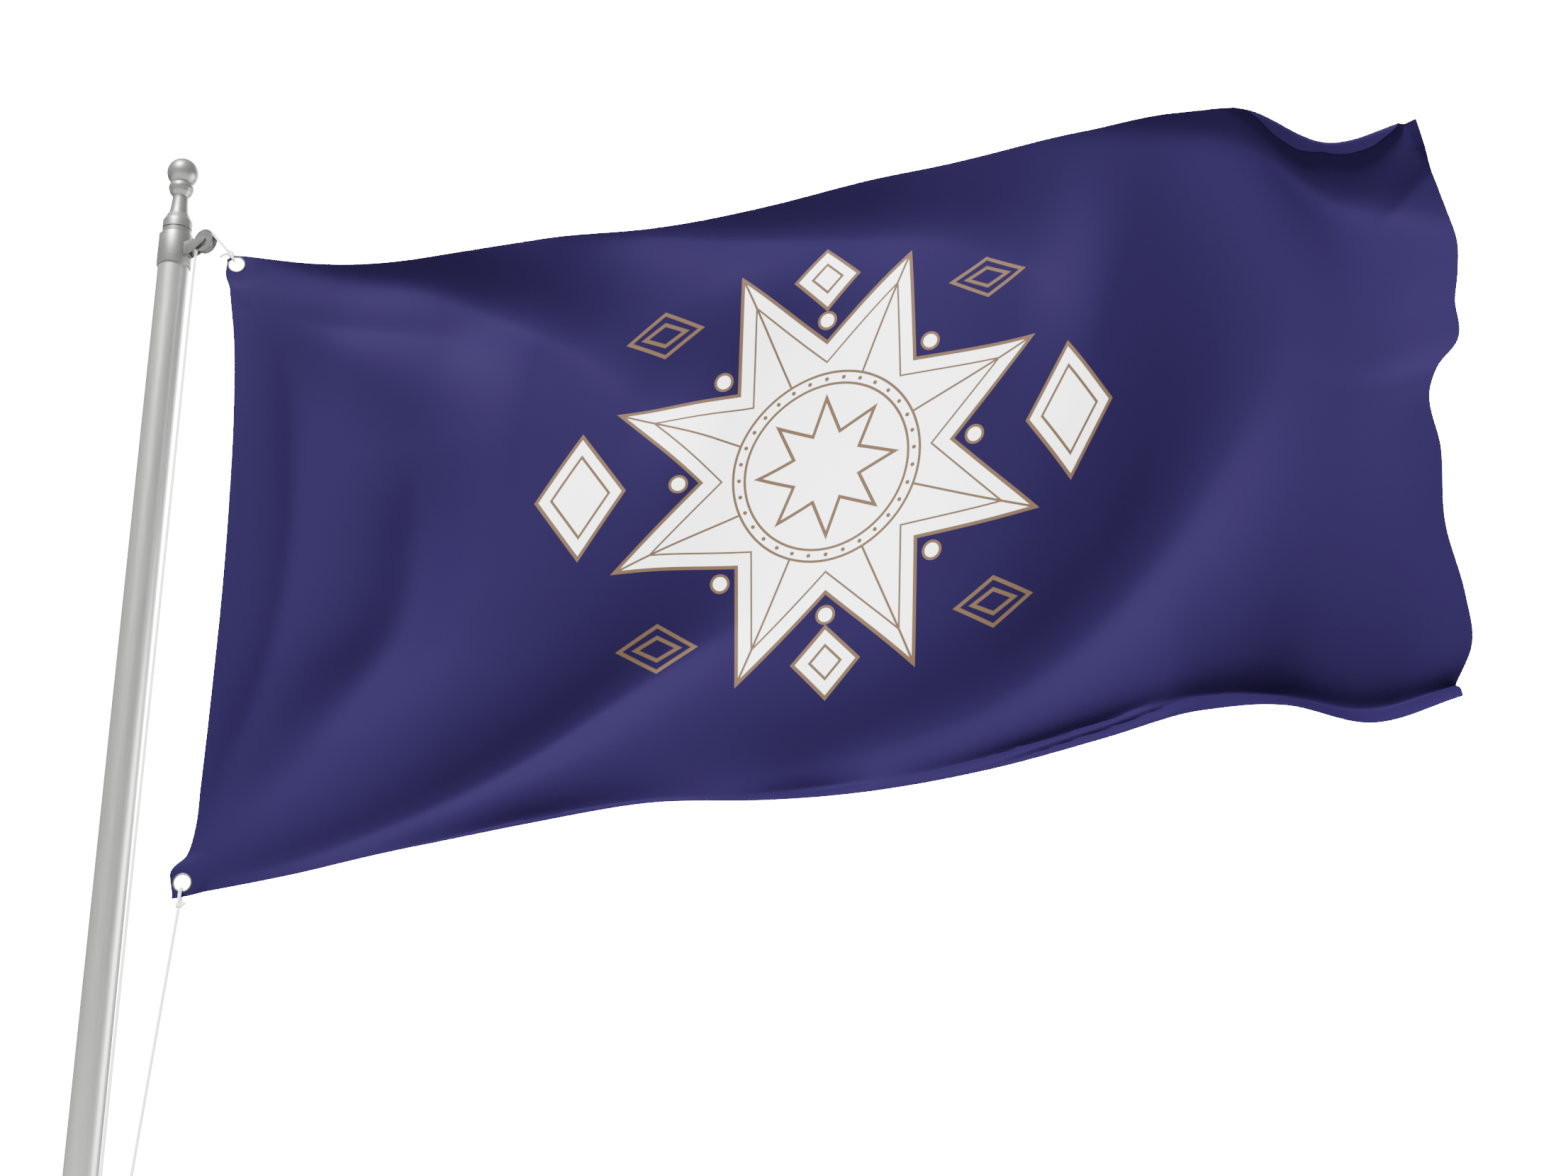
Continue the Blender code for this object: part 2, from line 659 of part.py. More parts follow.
def make_cleat(group, cutters, finish):
    pad_in = POLE_RADIUS - 0.003
    cleat = box("cleat", (PAD_OUT - pad_in, 2 * PAD_HALF_WIDTH, 2 * PAD_HALF_HEIGHT), group, finish)
    cleat.matrix_world = arm_matrix((PAD_OUT + pad_in) / 2, 0, CLEAT_RISE)
    hollow = cylinder("pole_cutter", POLE_RADIUS + GAP, CUTTER_REACH, cutters, None, steps=48)
    hollow.location = (0, 0, CLEAT_RISE)
    cut(cleat, hollow)
    reach = CLEAT_OUT - PAD_OUT + UNION_SINK
    for name, side in (("upper", 1), ("lower", -1)):
        leg = cylinder(f"{name}_leg", CLEAT_LEG, reach, cutters, None, steps=16)
        leg.matrix_world = (
            arm_matrix(PAD_OUT - UNION_SINK + reach / 2, 0, CLEAT_RISE + side * CLEAT_LEG_RISE)
            @ Matrix.Rotation(math.pi / 2, 4, "Y"))
        cut(cleat, leg, "UNION")
    bar = make_horns(cutters)
    cut(cleat, bar, "UNION")
    return cleat


def make_horns(cutters):
    """The bar of the cleat, a little thinner and bent outwards at its two horns."""
    steps, taper = 10, 0.35
    curve = bpy.data.curves.new("horns", "CURVE")
    curve.dimensions = "3D"
    curve.bevel_depth = CLEAT_BAR
    curve.bevel_resolution = 2
    curve.use_fill_caps = True
    line = curve.splines.new("POLY")
    line.points.add(steps)
    for k, point in enumerate(line.points):
        share = 2 * k / steps - 1
        out = CLEAT_OUT + (CLEAT_TIP_OUT - CLEAT_OUT) * share**4
        point.co = (*arm_place(out, 0, CLEAT_RISE + CLEAT_HALF * share), 1)
        point.radius = 1 - taper * share**6
    return as_mesh(link_piece("horns", curve, cutters), cutters)


def as_mesh(curve_piece, group):
    """A curve's tube as a mesh with its caps welded."""
    evaluated = curve_piece.evaluated_get(bpy.context.evaluated_depsgraph_get())
    mesh = bpy.data.meshes.new_from_object(evaluated)
    shape = bmesh.new()
    shape.from_mesh(mesh)
    bmesh.ops.remove_doubles(shape, verts=shape.verts, dist=0.00001)
    bmesh.ops.recalc_face_normals(shape, faces=shape.faces)
    shape.to_mesh(mesh)
    shape.free()
    name = curve_piece.name
    place = curve_piece.matrix_world.copy()
    bpy.data.objects.remove(curve_piece, do_unlink=True)
    piece = link_piece(name, mesh, group)
    piece.matrix_world = place
    return piece


# The rope

def rope_route(points, gap, most=4):
    """A smooth curve read through route points, with steps of about gap and at most most a leg."""
    route = [Vector(p) for p in points]
    knots = [0.0]
    for a, b in zip(route, route[1:]):
        knots.append(knots[-1] + max((b - a).length, 1e-6) ** 0.5)
    slopes = []
    for k in range(len(route)):
        low, high = max(k - 1, 0), min(k + 1, len(route) - 1)
        if low == k or high == k:
            slopes.append((route[high] - route[low]) / (knots[high] - knots[low]))
            continue
        before = (route[k] - route[low]) / (knots[k] - knots[low])
        after = (route[high] - route[k]) / (knots[high] - knots[k])
        share = (knots[k] - knots[low]) / (knots[high] - knots[low])
        slopes.append(before * (1 - share) + after * share)
    out = [route[0]]
    for k in range(len(route) - 1):
        width = knots[k + 1] - knots[k]
        steps = min(most, max(1, round((route[k + 1] - route[k]).length / gap)))
        for n in range(1, steps + 1):
            out.append(hermite((route[k], route[k + 1]), (slopes[k], slopes[k + 1]), 0, width, n / steps))
    return out


def rope_tube(name, places, group, finish):
    curve = bpy.data.curves.new(name, "CURVE")
    curve.dimensions = "3D"
    curve.bevel_depth = ROPE / 2
    curve.bevel_resolution = 2
    curve.use_fill_caps = True
    line = curve.splines.new("POLY")
    line.points.add(len(places) - 1)
    for point, place in zip(line.points, places):
        point.co = (*place, 1)
    return link_piece(name, curve, group, finish)


def sheave_wrap():
    """The rope's middle line over the sheave, from its outer side to its inner side."""
    radius = GROOVE_RADIUS + ROPE / 2 + 2 * GAP
    wrap = []
    for k in range(WRAP_STEPS + 1):
        angle = math.radians(WRAP_START + (WRAP_END - WRAP_START) * k / WRAP_STEPS)
        wrap.append(arm_place(AXLE_OUT + radius * math.cos(angle), 0, AXLE_RISE + radius * math.sin(angle)))
    return wrap


def in_eyelet(eyelet, places):
    return [eyelet_matrix(eyelet) @ Vector(place) for place in places]


def make_tie(name, eyelet, knot, loop, tail, group, cutters, finish):
    """A knot with its loop through the eyelet and a short free end."""
    mesh = bpy.data.meshes.new(name)
    shape = bmesh.new()
    bmesh.ops.create_uvsphere(shape, u_segments=14, v_segments=8, radius=KNOT_RADIUS)
    shape.to_mesh(mesh)
    shape.free()
    tie = link_piece(name, mesh, group, finish)
    tie.matrix_world = eyelet_matrix(eyelet) @ Matrix.Translation(knot)
    smooth_round(tie)
    back = [(a, up, -out) for a, up, out in reversed(loop[:-1])]
    for part, route in (("loop", loop + back), ("tail", tail)):
        places = rope_route(in_eyelet(eyelet, route), TIE_STEP, most=2)
        tube = as_mesh(rope_tube(f"{name}_{part}", places, cutters, None), cutters)
        cut(tie, tube, "UNION")
    return tie


def make_halyard(group, finish):
    """From the upper knot over the sheave, down to its turns on the cleat and up to the lower knot."""
    upper, = in_eyelet(EYELET_UPPER, [UPPER_KNOT])
    lower, = in_eyelet(EYELET_LOWER, [LOWER_KNOT])
    wrap = sheave_wrap()
    fall = [arm_place(out, aside, rise + CLEAT_RISE) for out, aside, rise in HALYARD_FALL]
    start = upper + (wrap[0] - upper).normalized() * (KNOT_RADIUS + GAP)
    end = lower + (fall[-1] - lower).normalized() * (KNOT_RADIUS + GAP)
    places = rope_route([start] + wrap + fall + [end], ROUTE_STEP, most=3)
    return rope_tube("halyard", places, group, finish)


def main():
    clear_scene()
    parts = make_collection("flag_on_pole")
    cutters = make_collection("cutters")
    finish = {name: make_finish(name) for name in FINISHES}
    make_flag(parts, cutters, finish["cloth"])
    make_eyelet("eyelet_upper", EYELET_UPPER, parts, finish["ring_metal"])
    make_eyelet("eyelet_lower", EYELET_LOWER, parts, finish["ring_metal"])
    make_tie("tie_upper", EYELET_UPPER, UPPER_KNOT, UPPER_LOOP, UPPER_TAIL, parts, cutters, finish["rope"])
    make_tie("tie_lower", EYELET_LOWER, LOWER_KNOT, LOWER_LOOP, LOWER_TAIL, parts, cutters, finish["rope"])
    make_pole(parts, finish["satin_metal"])
    make_sleeve(parts, finish["satin_metal"])
    make_collar(parts, finish["satin_metal"])
    make_finial(parts, finish["satin_metal"])
    make_bracket(parts, cutters, finish["grey_metal"])
    make_axle(parts, finish["grey_metal"])
    make_sheave(parts, finish["grey_metal"])
    make_cleat(parts, cutters, finish["satin_metal"])
    make_halyard(parts, finish["rope"])


main()
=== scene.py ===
import math

import bpy
import numpy as np
from mathutils import Matrix, Vector


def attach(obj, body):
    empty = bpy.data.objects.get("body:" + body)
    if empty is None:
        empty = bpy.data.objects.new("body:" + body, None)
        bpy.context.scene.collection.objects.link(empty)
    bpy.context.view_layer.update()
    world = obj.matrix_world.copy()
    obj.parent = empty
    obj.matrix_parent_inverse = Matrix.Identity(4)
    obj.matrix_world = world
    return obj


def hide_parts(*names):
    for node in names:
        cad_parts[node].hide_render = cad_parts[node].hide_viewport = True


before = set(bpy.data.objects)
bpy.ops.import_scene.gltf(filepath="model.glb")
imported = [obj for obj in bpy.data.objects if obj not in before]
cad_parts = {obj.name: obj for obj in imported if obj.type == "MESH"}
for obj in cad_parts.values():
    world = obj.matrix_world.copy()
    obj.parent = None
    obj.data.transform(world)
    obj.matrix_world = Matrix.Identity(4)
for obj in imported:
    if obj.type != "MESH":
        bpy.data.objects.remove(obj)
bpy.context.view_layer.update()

body = "flagpole"
gap = 0.0003

camera = dict(place=(0.950, -2.763, 0.350), pitch=17.3, lens=45.0, sensor=36.0)

lights = dict(
    key=dict(place=(-2.4, -5.8, 9.7), target=(1.0, 0.0, 1.4), size=2.6, power=6700),
    rim=dict(place=(2.9, 0.9, 1.0), target=(0.0, 0.0, 1.0), size=1.6, power=160),
    back=dict(place=(1.0, 4.2, 3.6), target=(1.0, 0.0, 1.4), size=4.0, power=420),
    sky=0.42,
    backdrop=24.0,
)

# the flag's surface: the same sections, edges and folds as its solid, read at a finer step
cloth = dict(
    fly=2.0, hoist=1.0, thick=0.0006,
    hoistOut=0.092, headSpan=0.928, footSpan=0.915, footRise=0.747,
    flyCells=262, dropCells=176, edgeCrowding=0.58,
    flankDecay=1.7,
    hole=0.0122, flatRound=0.018, flatFade=0.045,
)

sections = [
    # fly   head y  head rise  foot y  foot rise
    (0.00, -0.035, 0.990, -0.035, 0.000),
    (0.18, -0.040, 0.985, -0.030, 0.035),
    (0.36, -0.050, 1.002, -0.030, 0.075),
    (0.54, -0.045, 1.023, -0.025, 0.110),
    (0.72, -0.035, 1.055, -0.015, 0.140),
    (0.90, -0.030, 1.095, -0.015, 0.145),
    (1.08, -0.025, 1.142, -0.015, 0.160),
    (1.26, -0.030, 1.175, -0.020, 0.190),
    (1.44, -0.020, 1.230, -0.015, 0.235),
    (1.60, 0.000, 1.280, -0.015, 0.278),
    (1.74, 0.005, 1.285, -0.030, 0.289),
    (1.87, 0.005, 1.222, -0.040, 0.261),
    (2.00, -0.030, 1.235, -0.050, 0.290),
]

edges = dict(
    hoist=dict(reach=0.18, rows=[  # share of the drop, x, y
        (0.00, 0.000, 0.000), (0.08, 0.013, 0.000), (0.13, 0.021, 0.000), (0.26, 0.032, 0.000),
        (0.41, 0.037, 0.000), (0.57, 0.038, 0.000), (0.72, 0.035, 0.000), (0.84, 0.031, 0.000),
        (0.90, 0.029, 0.000), (0.93, 0.024, 0.000), (0.96, 0.012, 0.000), (1.00, 0.000, 0.000)]),
    fly=dict(reach=0.10, rows=[
        (0.00, 0.000, 0.000), (0.10, 0.042, 0.000), (0.20, 0.066, -0.005), (0.27, 0.056, -0.010),
        (0.33, 0.042, -0.015), (0.42, 0.030, -0.020), (0.455, 0.002, -0.020), (0.49, -0.012, -0.015),
        (0.60, -0.004, -0.010), (0.72, -0.005, 0.000), (0.84, 0.015, 0.000), (0.92, 0.020, 0.000),
        (0.97, 0.005, 0.000), (1.00, 0.000, 0.000)]),
)

# Each fold is a valley, or a ridge where its depth is negative, along a bowed line. It fades
# within the widths above and below the line, given at its start and end. A small crisp value
# keeps that side steep right up to the line.
folds = dict(
    upperTuck=dict(
        start=(-0.02, -0.005), end=(0.82, 0.40), bow=(0, -0.05, -0.10, -0.105, -0.085, -0.04, 0),
        depth=(0, 0.026, 0.054, 0.066, 0.062, 0.035, 0), above=(0.015, 0.13), below=(0.09, 0.20),
        crisp=(1.3, 0.2)),
    topShelf=dict(
        start=(0.52, 0.00), end=(1.46, 0.34), bow=(0, -0.05, -0.075, -0.10, -0.125, -0.095, 0),
        depth=(0, 0.026, 0.046, 0.054, 0.054, 0.038, 0), above=(0.04, 0.12), below=(0.06, 0.20),
        crisp=(1.1, 0.2)),
    flyShelf=dict(
        start=(1.22, -0.02), end=(2.08, 0.24), bow=(0, -0.03, -0.05, -0.07, -0.085, -0.065, 0.02),
        depth=(0, 0.010, 0.030, 0.055, 0.075, 0.070, 0.045), above=(0.05, 0.11), below=(0.08, 0.24),
        crisp=(0.6, 0.2)),
    longFold=dict(
        start=(0.70, 0.98), end=(1.74, 0.06), bow=(0, 0.15, 0.30, 0.37, 0.36, 0.27, 0),
        depth=(0, 0.028, 0.046, 0.056, 0.056, 0.036, 0), above=(0.06, 0.22), below=(0.09, 0.22),
        crisp=(0.8, 0.25)),
    lowRay=dict(
        start=(0.02, 0.985), end=(0.96, 0.64), bow=(0, 0.05, 0.08, 0.085, 0.065, 0.035, 0),
        depth=(0, 0.010, 0.023, 0.034, 0.038, 0.028, 0), above=(0.03, 0.14), below=(0.03, 0.12),
        crisp=(0.5, 0.2)),
    hoistArc=dict(
        start=(0.02, 0.98), end=(0.02, 0.00), bow=(0, 0.145, 0.29, 0.32, 0.30, 0.205, 0),
        depth=(0, 0.018, 0.038, 0.040, 0.014, -0.012, 0), above=(0.08, 0.07), below=(0.12, 0.14),
        crisp=(0.8, 0.4)),
    hoistArcInner=dict(
        start=(0.00, 0.98), end=(0.00, 0.00), bow=(0, 0.045, 0.10, 0.12, 0.115, 0.09, 0),
        depth=(0, 0.004, 0.008, 0.010, 0.009, 0.005, 0), above=(0.03, 0.03), below=(0.05, 0.05),
        crisp=(0.8, 0.5)),
    middle=dict(
        start=(1.04, 0.90), end=(0.80, 0.14), bow=(0, 0, 0, 0, 0),
        depth=(0, 0.030, 0.045, 0.034, 0), above=(0.14, 0.14), below=(0.20, 0.20), crisp=(0.8, 0.8)),
    footTuck=dict(
        start=(0.25, 1.00), end=(1.14, 0.985), bow=(0, 0, -0.005, 0, 0, -0.008, 0),
        depth=(0, 0.012, 0.024, 0.014, 0.002, 0.010, 0), above=(0.04, 0.06), below=(0.012, 0.018),
        crisp=(0.3, 0.2)),
    footLip=dict(
        start=(1.02, 0.985), end=(2.06, 0.98), bow=(0, -0.008, -0.010, -0.012, -0.008, -0.012, -0.006),
        depth=(0, 0.002, 0.004, 0.013, 0.028, 0.024, 0.034), above=(0.02, 0.045), below=(0.012, 0.022),
        crisp=(0.3, 0.2)),
    lowPocket=dict(
        start=(1.54, 0.99), end=(2.03, 0.98), bow=(0, -0.005, -0.01, -0.005, 0),
        depth=(0, 0.028, 0.062, 0.050, 0), above=(0.12, 0.15), below=(0.05, 0.05), crisp=(0.7, 0.5)),
)

# small creases that only the thin sheet has
creases = dict(
    besideEyelet=dict(
        start=(0.006, 0.026), end=(0.030, 0.100), bow=(0, 0.001, 0), depth=(0, -0.0022, 0),
        above=(0.006, 0.007), below=(0.006, 0.007), crisp=(0.3, 0.3)),
    flyCorner=dict(
        start=(2.03, 0.055), end=(1.915, 0.150), bow=(0, 0.003, 0.002, 0), depth=(0.008, 0.007, 0.004, 0),
        above=(0.050, 0.030), below=(0.030, 0.020), crisp=(0.2, 0.1)),
    hoistSoft=dict(
        start=(0.02, 0.090), end=(0.52, 0.175), bow=(0, 0.002, 0.002, 0), depth=(0, 0.024, 0.026, 0),
        above=(0.060, 0.085), below=(0.45, 0.45), crisp=(0.5, 0.8)),
    footPleatOne=dict(
        start=(1.08, 0.985), end=(1.56, 0.965), bow=(0, 0.002, -0.001, 0.001, 0),
        depth=(0, 0.008, 0.014, 0.012, 0), above=(0.020, 0.026), below=(0.006, 0.008), crisp=(0.2, 0.1)),
    footPleatTwo=dict(
        start=(1.24, 0.998), end=(1.66, 0.972), bow=(0, -0.001, 0.001, 0),
        depth=(0, 0.008, 0.010, 0), above=(0.008, 0.010), below=(0.005, 0.007), crisp=(0.2, 0.2)),
    footPleatThree=dict(
        start=(0.86, 0.992), end=(1.10, 0.982), bow=(0, 0.001, 0), depth=(0, 0.010, 0),
        above=(0.018, 0.022), below=(0.008, 0.008), crisp=(0.3, 0.2)),
    lipShadow=dict(
        start=(1.82, 0.978), end=(2.02, 0.972), bow=(0, 0.002, 0), depth=(0, 0.006, 0.010),
        above=(0.010, 0.014), below=(0.006, 0.008), crisp=(0.2, 0.2)),
)

# edges that roll over: how much of the cloth, place by place along the edge, and through what angle
rolls = dict(
    head=dict(reach=[  # fly, rolled width
        (1.66, 0.000), (1.70, 0.003), (1.74, 0.012), (1.78, 0.030), (1.82, 0.034), (1.86, 0.024),
        (1.90, 0.030), (1.93, 0.030), (1.96, 0.018), (1.985, 0.000), (2.00, 0.000)],
        radius=0.0040, turn=176, slide=1.0),
    tip=dict(reach=[  # drop, rolled width
        (0.000, 0.026), (0.020, 0.024), (0.040, 0.019), (0.052, 0.010), (0.060, 0.000), (1.000, 0.000)],
        radius=0.0040, turn=32, slide=0.35),
)
rollEase = 0.10  # how far from a rolled edge the cloth has moved over to make room for the roll

eyelets = dict(upper=(0.0150, 0.0155), lower=(0.0160, 0.9800))
eyelet = dict(bore=0.0110, rim=0.0135, seat=0.00045, flange=0.0009, steps=64)
flap = dict(line=0.0140, radius=0.00115, bends=5, stretch=1.45, reach=0.04)


def readUneven(at, values, where):
    at, values = np.asarray(at, float), np.asarray(values, float)
    slopes = np.gradient(values, at)
    low = np.clip(np.searchsorted(at, where, side="right") - 1, 0, len(at) - 2)
    width = at[low + 1] - at[low]
    return hermite(values, slopes, low, width, (where - at[low]) / width)


def readEven(values, share, levelEnds=False):
    values = np.asarray(values, float)
    step = 1 / (len(values) - 1)
    slopes = np.gradient(values, step)
    if levelEnds:
        slopes[0] = slopes[-1] = 0
    place = np.clip(share, 0, 1) / step
    low = np.minimum(place.astype(int), len(values) - 2)
    inside = hermite(values, slopes, low, step, place - low)
    return inside + np.minimum(share, 0) * slopes[0] + np.maximum(share - 1, 0) * slopes[-1]


def hermite(values, slopes, low, width, t):
    start = (2 * t**3 - 3 * t**2 + 1) * values[low] + (t**3 - 2 * t**2 + t) * width * slopes[low]
    end = (-2 * t**3 + 3 * t**2) * values[low + 1] + (t**3 - t**2) * width * slopes[low + 1]
    return start + end


def foldDepth(fly, drop, fold):
    start = np.array(fold["start"])
    run = np.array(fold["end"]) - start
    length = np.hypot(*run)
    along = run / length
    share = ((fly - start[0]) * along[0] + (drop - start[1]) * along[1]) / length
    aside = along[0] * (drop - start[1]) - along[1] * (fly - start[0])
    nudge = 0.02
    rise = readEven(fold["bow"], share + nudge) - readEven(fold["bow"], share - nudge)
    off = (aside - readEven(fold["bow"], share)) / np.sqrt(1 + (rise / (2 * nudge * length)) ** 2)
    t = np.clip(share, 0, 1)
    sides = []
    for width, rounding in ((fold["above"], fold["crisp"][0]), (fold["below"], fold["crisp"][1])):
        away = off / (width[0] * (1 - t) + width[1] * t)
        sides.append(np.exp(-cloth["flankDecay"] * (np.hypot(away, rounding) - rounding)))
    return readEven(fold["depth"], share, True) * np.where(off < 0, sides[0], sides[1])


def foldedPlaces(fly, drop):
    rows = np.array(sections)
    headY, headZ, footY, footZ = (readUneven(rows[:, 0], rows[:, k], fly) for k in range(1, 5))
    share = drop / cloth["hoist"]
    x = cloth["hoistOut"] + fly * (cloth["headSpan"] * (1 - share) + cloth["footSpan"] * share)
    y = headY * (1 - share) + footY * share
    z = headZ * (1 - share) + footZ * share + cloth["footRise"]
    for edge, away in ((edges["hoist"], fly), (edges["fly"], cloth["fly"] - fly)):
        rows = np.array(edge["rows"])
        fade = np.exp(-away / edge["reach"])
        x = x + readUneven(rows[:, 0], rows[:, 1], share) * fade
        y = y + readUneven(rows[:, 0], rows[:, 2], share) * fade
    for fold in folds.values():
        y = y + foldDepth(fly, drop, fold)
    return np.stack([x, y, z], axis=-1)


def eyeletFrame(which):  # centre, along the fly, down the drop, out of the cloth
    fly, drop = (np.array([value]) for value in eyelets[which])
    nudge = 0.004
    centre = foldedPlaces(fly, drop)[0]
    along = foldedPlaces(fly + nudge, drop)[0] - foldedPlaces(fly - nudge, drop)[0]
    along /= np.linalg.norm(along)
    down = foldedPlaces(fly, drop + nudge)[0] - foldedPlaces(fly, drop - nudge)[0]
    down -= along * along.dot(down)
    down /= np.linalg.norm(down)
    return centre, along, down, np.cross(down, along)


def eyeletMatrix(which):
    centre, along, down, out = (Vector(v) for v in eyeletFrame(which))
    return Matrix.Translation(centre) @ Matrix((along, -down, out)).transposed().to_4x4()


def creasedPlaces(fly, drop):
    places = foldedPlaces(fly, drop)
    for crease in creases.values():
        places[..., 1] += foldDepth(fly, drop, crease)
    return places


def rolledPlaces(fly, drop):
    widths, slides = {}, {}
    for name, away, along in (("head", drop, fly), ("tip", cloth["fly"] - fly, drop)):
        rows = np.array(rolls[name]["reach"])
        widths[name] = np.maximum(np.interp(along, rows[:, 0], rows[:, 1]), 0)
        share = np.clip((away - widths[name]) / rollEase, 0, 1)
        fade = 1 - share * share * (3 - 2 * share)
        slides[name] = np.minimum(widths[name] * fade, away)
    surfaceFly = fly + slides["tip"] * rolls["tip"]["slide"]
    surfaceDrop = drop - slides["head"] * rolls["head"]["slide"]
    hinge = dict(head=(surfaceFly, surfaceDrop), tip=(np.minimum(surfaceFly, cloth["fly"] - widths["tip"]
                 * (1 - rolls["tip"]["slide"])), surfaceDrop))
    places = creasedPlaces(surfaceFly, surfaceDrop)
    nudge = 0.004
    for name, away in (("head", drop), ("tip", cloth["fly"] - fly)):
        beyond = np.maximum(widths[name] - away, 0)
        rolled = beyond > 0
        at = [value[rolled] for value in hinge[name]]
        here = creasedPlaces(*at)
        across = creasedPlaces(at[0] + nudge, at[1]) - creasedPlaces(at[0] - nudge, at[1])
        down = creasedPlaces(at[0], at[1] + nudge) - creasedPlaces(at[0], np.maximum(at[1] - nudge, 0))
        front = np.cross(down, across)
        front /= np.linalg.norm(front, axis=-1, keepdims=True)
        outward = -down if name == "head" else across
        outward /= np.linalg.norm(outward, axis=-1, keepdims=True)
        radius, most = rolls[name]["radius"], math.radians(rolls[name]["turn"])
        turn = np.minimum(beyond[rolled] / radius, most)
        flat = np.maximum(beyond[rolled] - most * radius, 0)
        out = radius * np.sin(turn) + flat * math.cos(most)
        lift = radius * (1 - np.cos(turn)) + flat * math.sin(most)
        places[rolled] = here + out[:, None] * outward + lift[:, None] * front
    return places


def clothPlaces(fly, drop):
    places = rolledPlaces(fly, drop)
    for which, spot in eyelets.items():
        centre, along, down, _ = eyeletFrame(which)
        a, b = fly - spot[0], drop - spot[1]
        flat = centre + a[..., None] * along + b[..., None] * down
        fade = (cloth["flatFade"] - np.hypot(a, b)) / (cloth["flatFade"] - cloth["flatRound"])
        fade = np.clip(fade, 0, 1)[..., None]
        fade = fade * fade * (3 - 2 * fade)
        places = places * (1 - fade) + flat * fade
    return places


# Camera

def makeCamera():
    data = bpy.data.cameras.new("camera")
    data.lens, data.sensor_width = camera["lens"], camera["sensor"]
    eye = bpy.data.objects.new("camera", data)
    eye.location = camera["place"]
    eye.rotation_euler = (math.radians(90 + camera["pitch"]), 0, 0)
    bpy.context.scene.collection.objects.link(eye)
    bpy.context.scene.camera = eye


# Shared modelling helpers

def deselectAll():
    if bpy.context.mode != "OBJECT":
        bpy.ops.object.mode_set(mode="OBJECT")
    bpy.ops.object.select_all(action="DESELECT")


def pick(piece):
    deselectAll()
    piece.select_set(True)
    bpy.context.view_layer.objects.active = piece


def applyAll(piece):
    pick(piece)
    for modifier in list(piece.modifiers):
        bpy.ops.object.modifier_apply(modifier=modifier.name)


def bakePlace(piece):
    pick(piece)
    bpy.ops.object.transform_apply(location=True, rotation=True, scale=True)


def finishPiece(piece, name, material, slot, *nodes, on=body):
    piece.name = piece.data.name = name
    piece.data.materials.clear()
    piece.data.materials.append(material)
    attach(piece, on)
    if nodes:
        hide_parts(*nodes)
    return piece


def turnProfile(profile, steps, matrix, closed):
    deselectAll()
    bpy.ops.mesh.primitive_circle_add(vertices=len(profile), radius=1)
    piece = bpy.context.object
    for corner, (radius, height) in zip(piece.data.vertices, profile):
        corner.co = (radius, 0, height)
    if not closed:
        last = len(profile) - 1
        for edge in piece.data.edges:
            edge.select = set(edge.vertices) == {0, last}
        for corner in piece.data.vertices:
            corner.select = False
        bpy.ops.object.mode_set(mode="EDIT")
        bpy.ops.mesh.select_mode(type="EDGE")
        bpy.ops.mesh.delete(type="EDGE")
        bpy.ops.object.mode_set(mode="OBJECT")
    turn = piece.modifiers.new("turn", "SCREW")
    turn.steps = turn.render_steps = steps
    turn.use_merge_vertices = True
    turn.merge_threshold = 0.00001
    applyAll(piece)
    bpy.ops.object.mode_set(mode="EDIT")
    bpy.ops.mesh.select_all(action="SELECT")
    bpy.ops.mesh.remove_doubles(threshold=0.00002)
    bpy.ops.mesh.normals_make_consistent(inside=False)
    bpy.ops.object.mode_set(mode="OBJECT")
    piece.matrix_world = matrix
    bakePlace(piece)
    bpy.ops.object.shade_smooth_by_angle(angle=math.radians(32))
    return piece


# Cords

rope = dict(
    width=0.0044, ringStep=0.0016, sides=14, strands=8, pitch=0.0125, relief=0.055,
)

pulley = dict(bearing=-25, axleOut=0.0600, axleRise=1.7646, groove=0.0140, wrapStart=36, wrapEnd=180, wrapSteps=8)

cleatRise = 0.1200
halyardFall = [  # out along the arm, aside, rise over the cleat's middle
    (0.0413, -0.0008, 1.180), (0.0380, -0.0022, 0.380), (0.0373, -0.0026, 0.120), (0.0366, -0.0042, 0.062),
    (0.0355, -0.0080, 0.042), (0.0345, -0.0105, 0.026), (0.0340, -0.0115, 0.010), (0.0340, -0.0115, -0.008),
    (0.0338, -0.0100, -0.020), (0.0332, -0.0055, -0.029), (0.0332, 0.0015, -0.032), (0.0350, 0.0085, -0.028),
    (0.0400, 0.0125, -0.020), (0.0475, 0.0112, -0.012), (0.0535, 0.0050, -0.004), (0.0540, -0.0030, 0.004),
    (0.0508, -0.0100, 0.012), (0.0460, -0.0140, 0.020), (0.0425, -0.0130, 0.026), (0.0403, -0.0095, 0.031),
    (0.0372, -0.0025, 0.0355), (0.0366, 0.0040, 0.037), (0.0395, 0.0105, 0.036), (0.0460, 0.0120, 0.0365),
    (0.0530, 0.0088, 0.042), (0.0565, 0.0078, 0.053), (0.0590, 0.0100, 0.080),
]

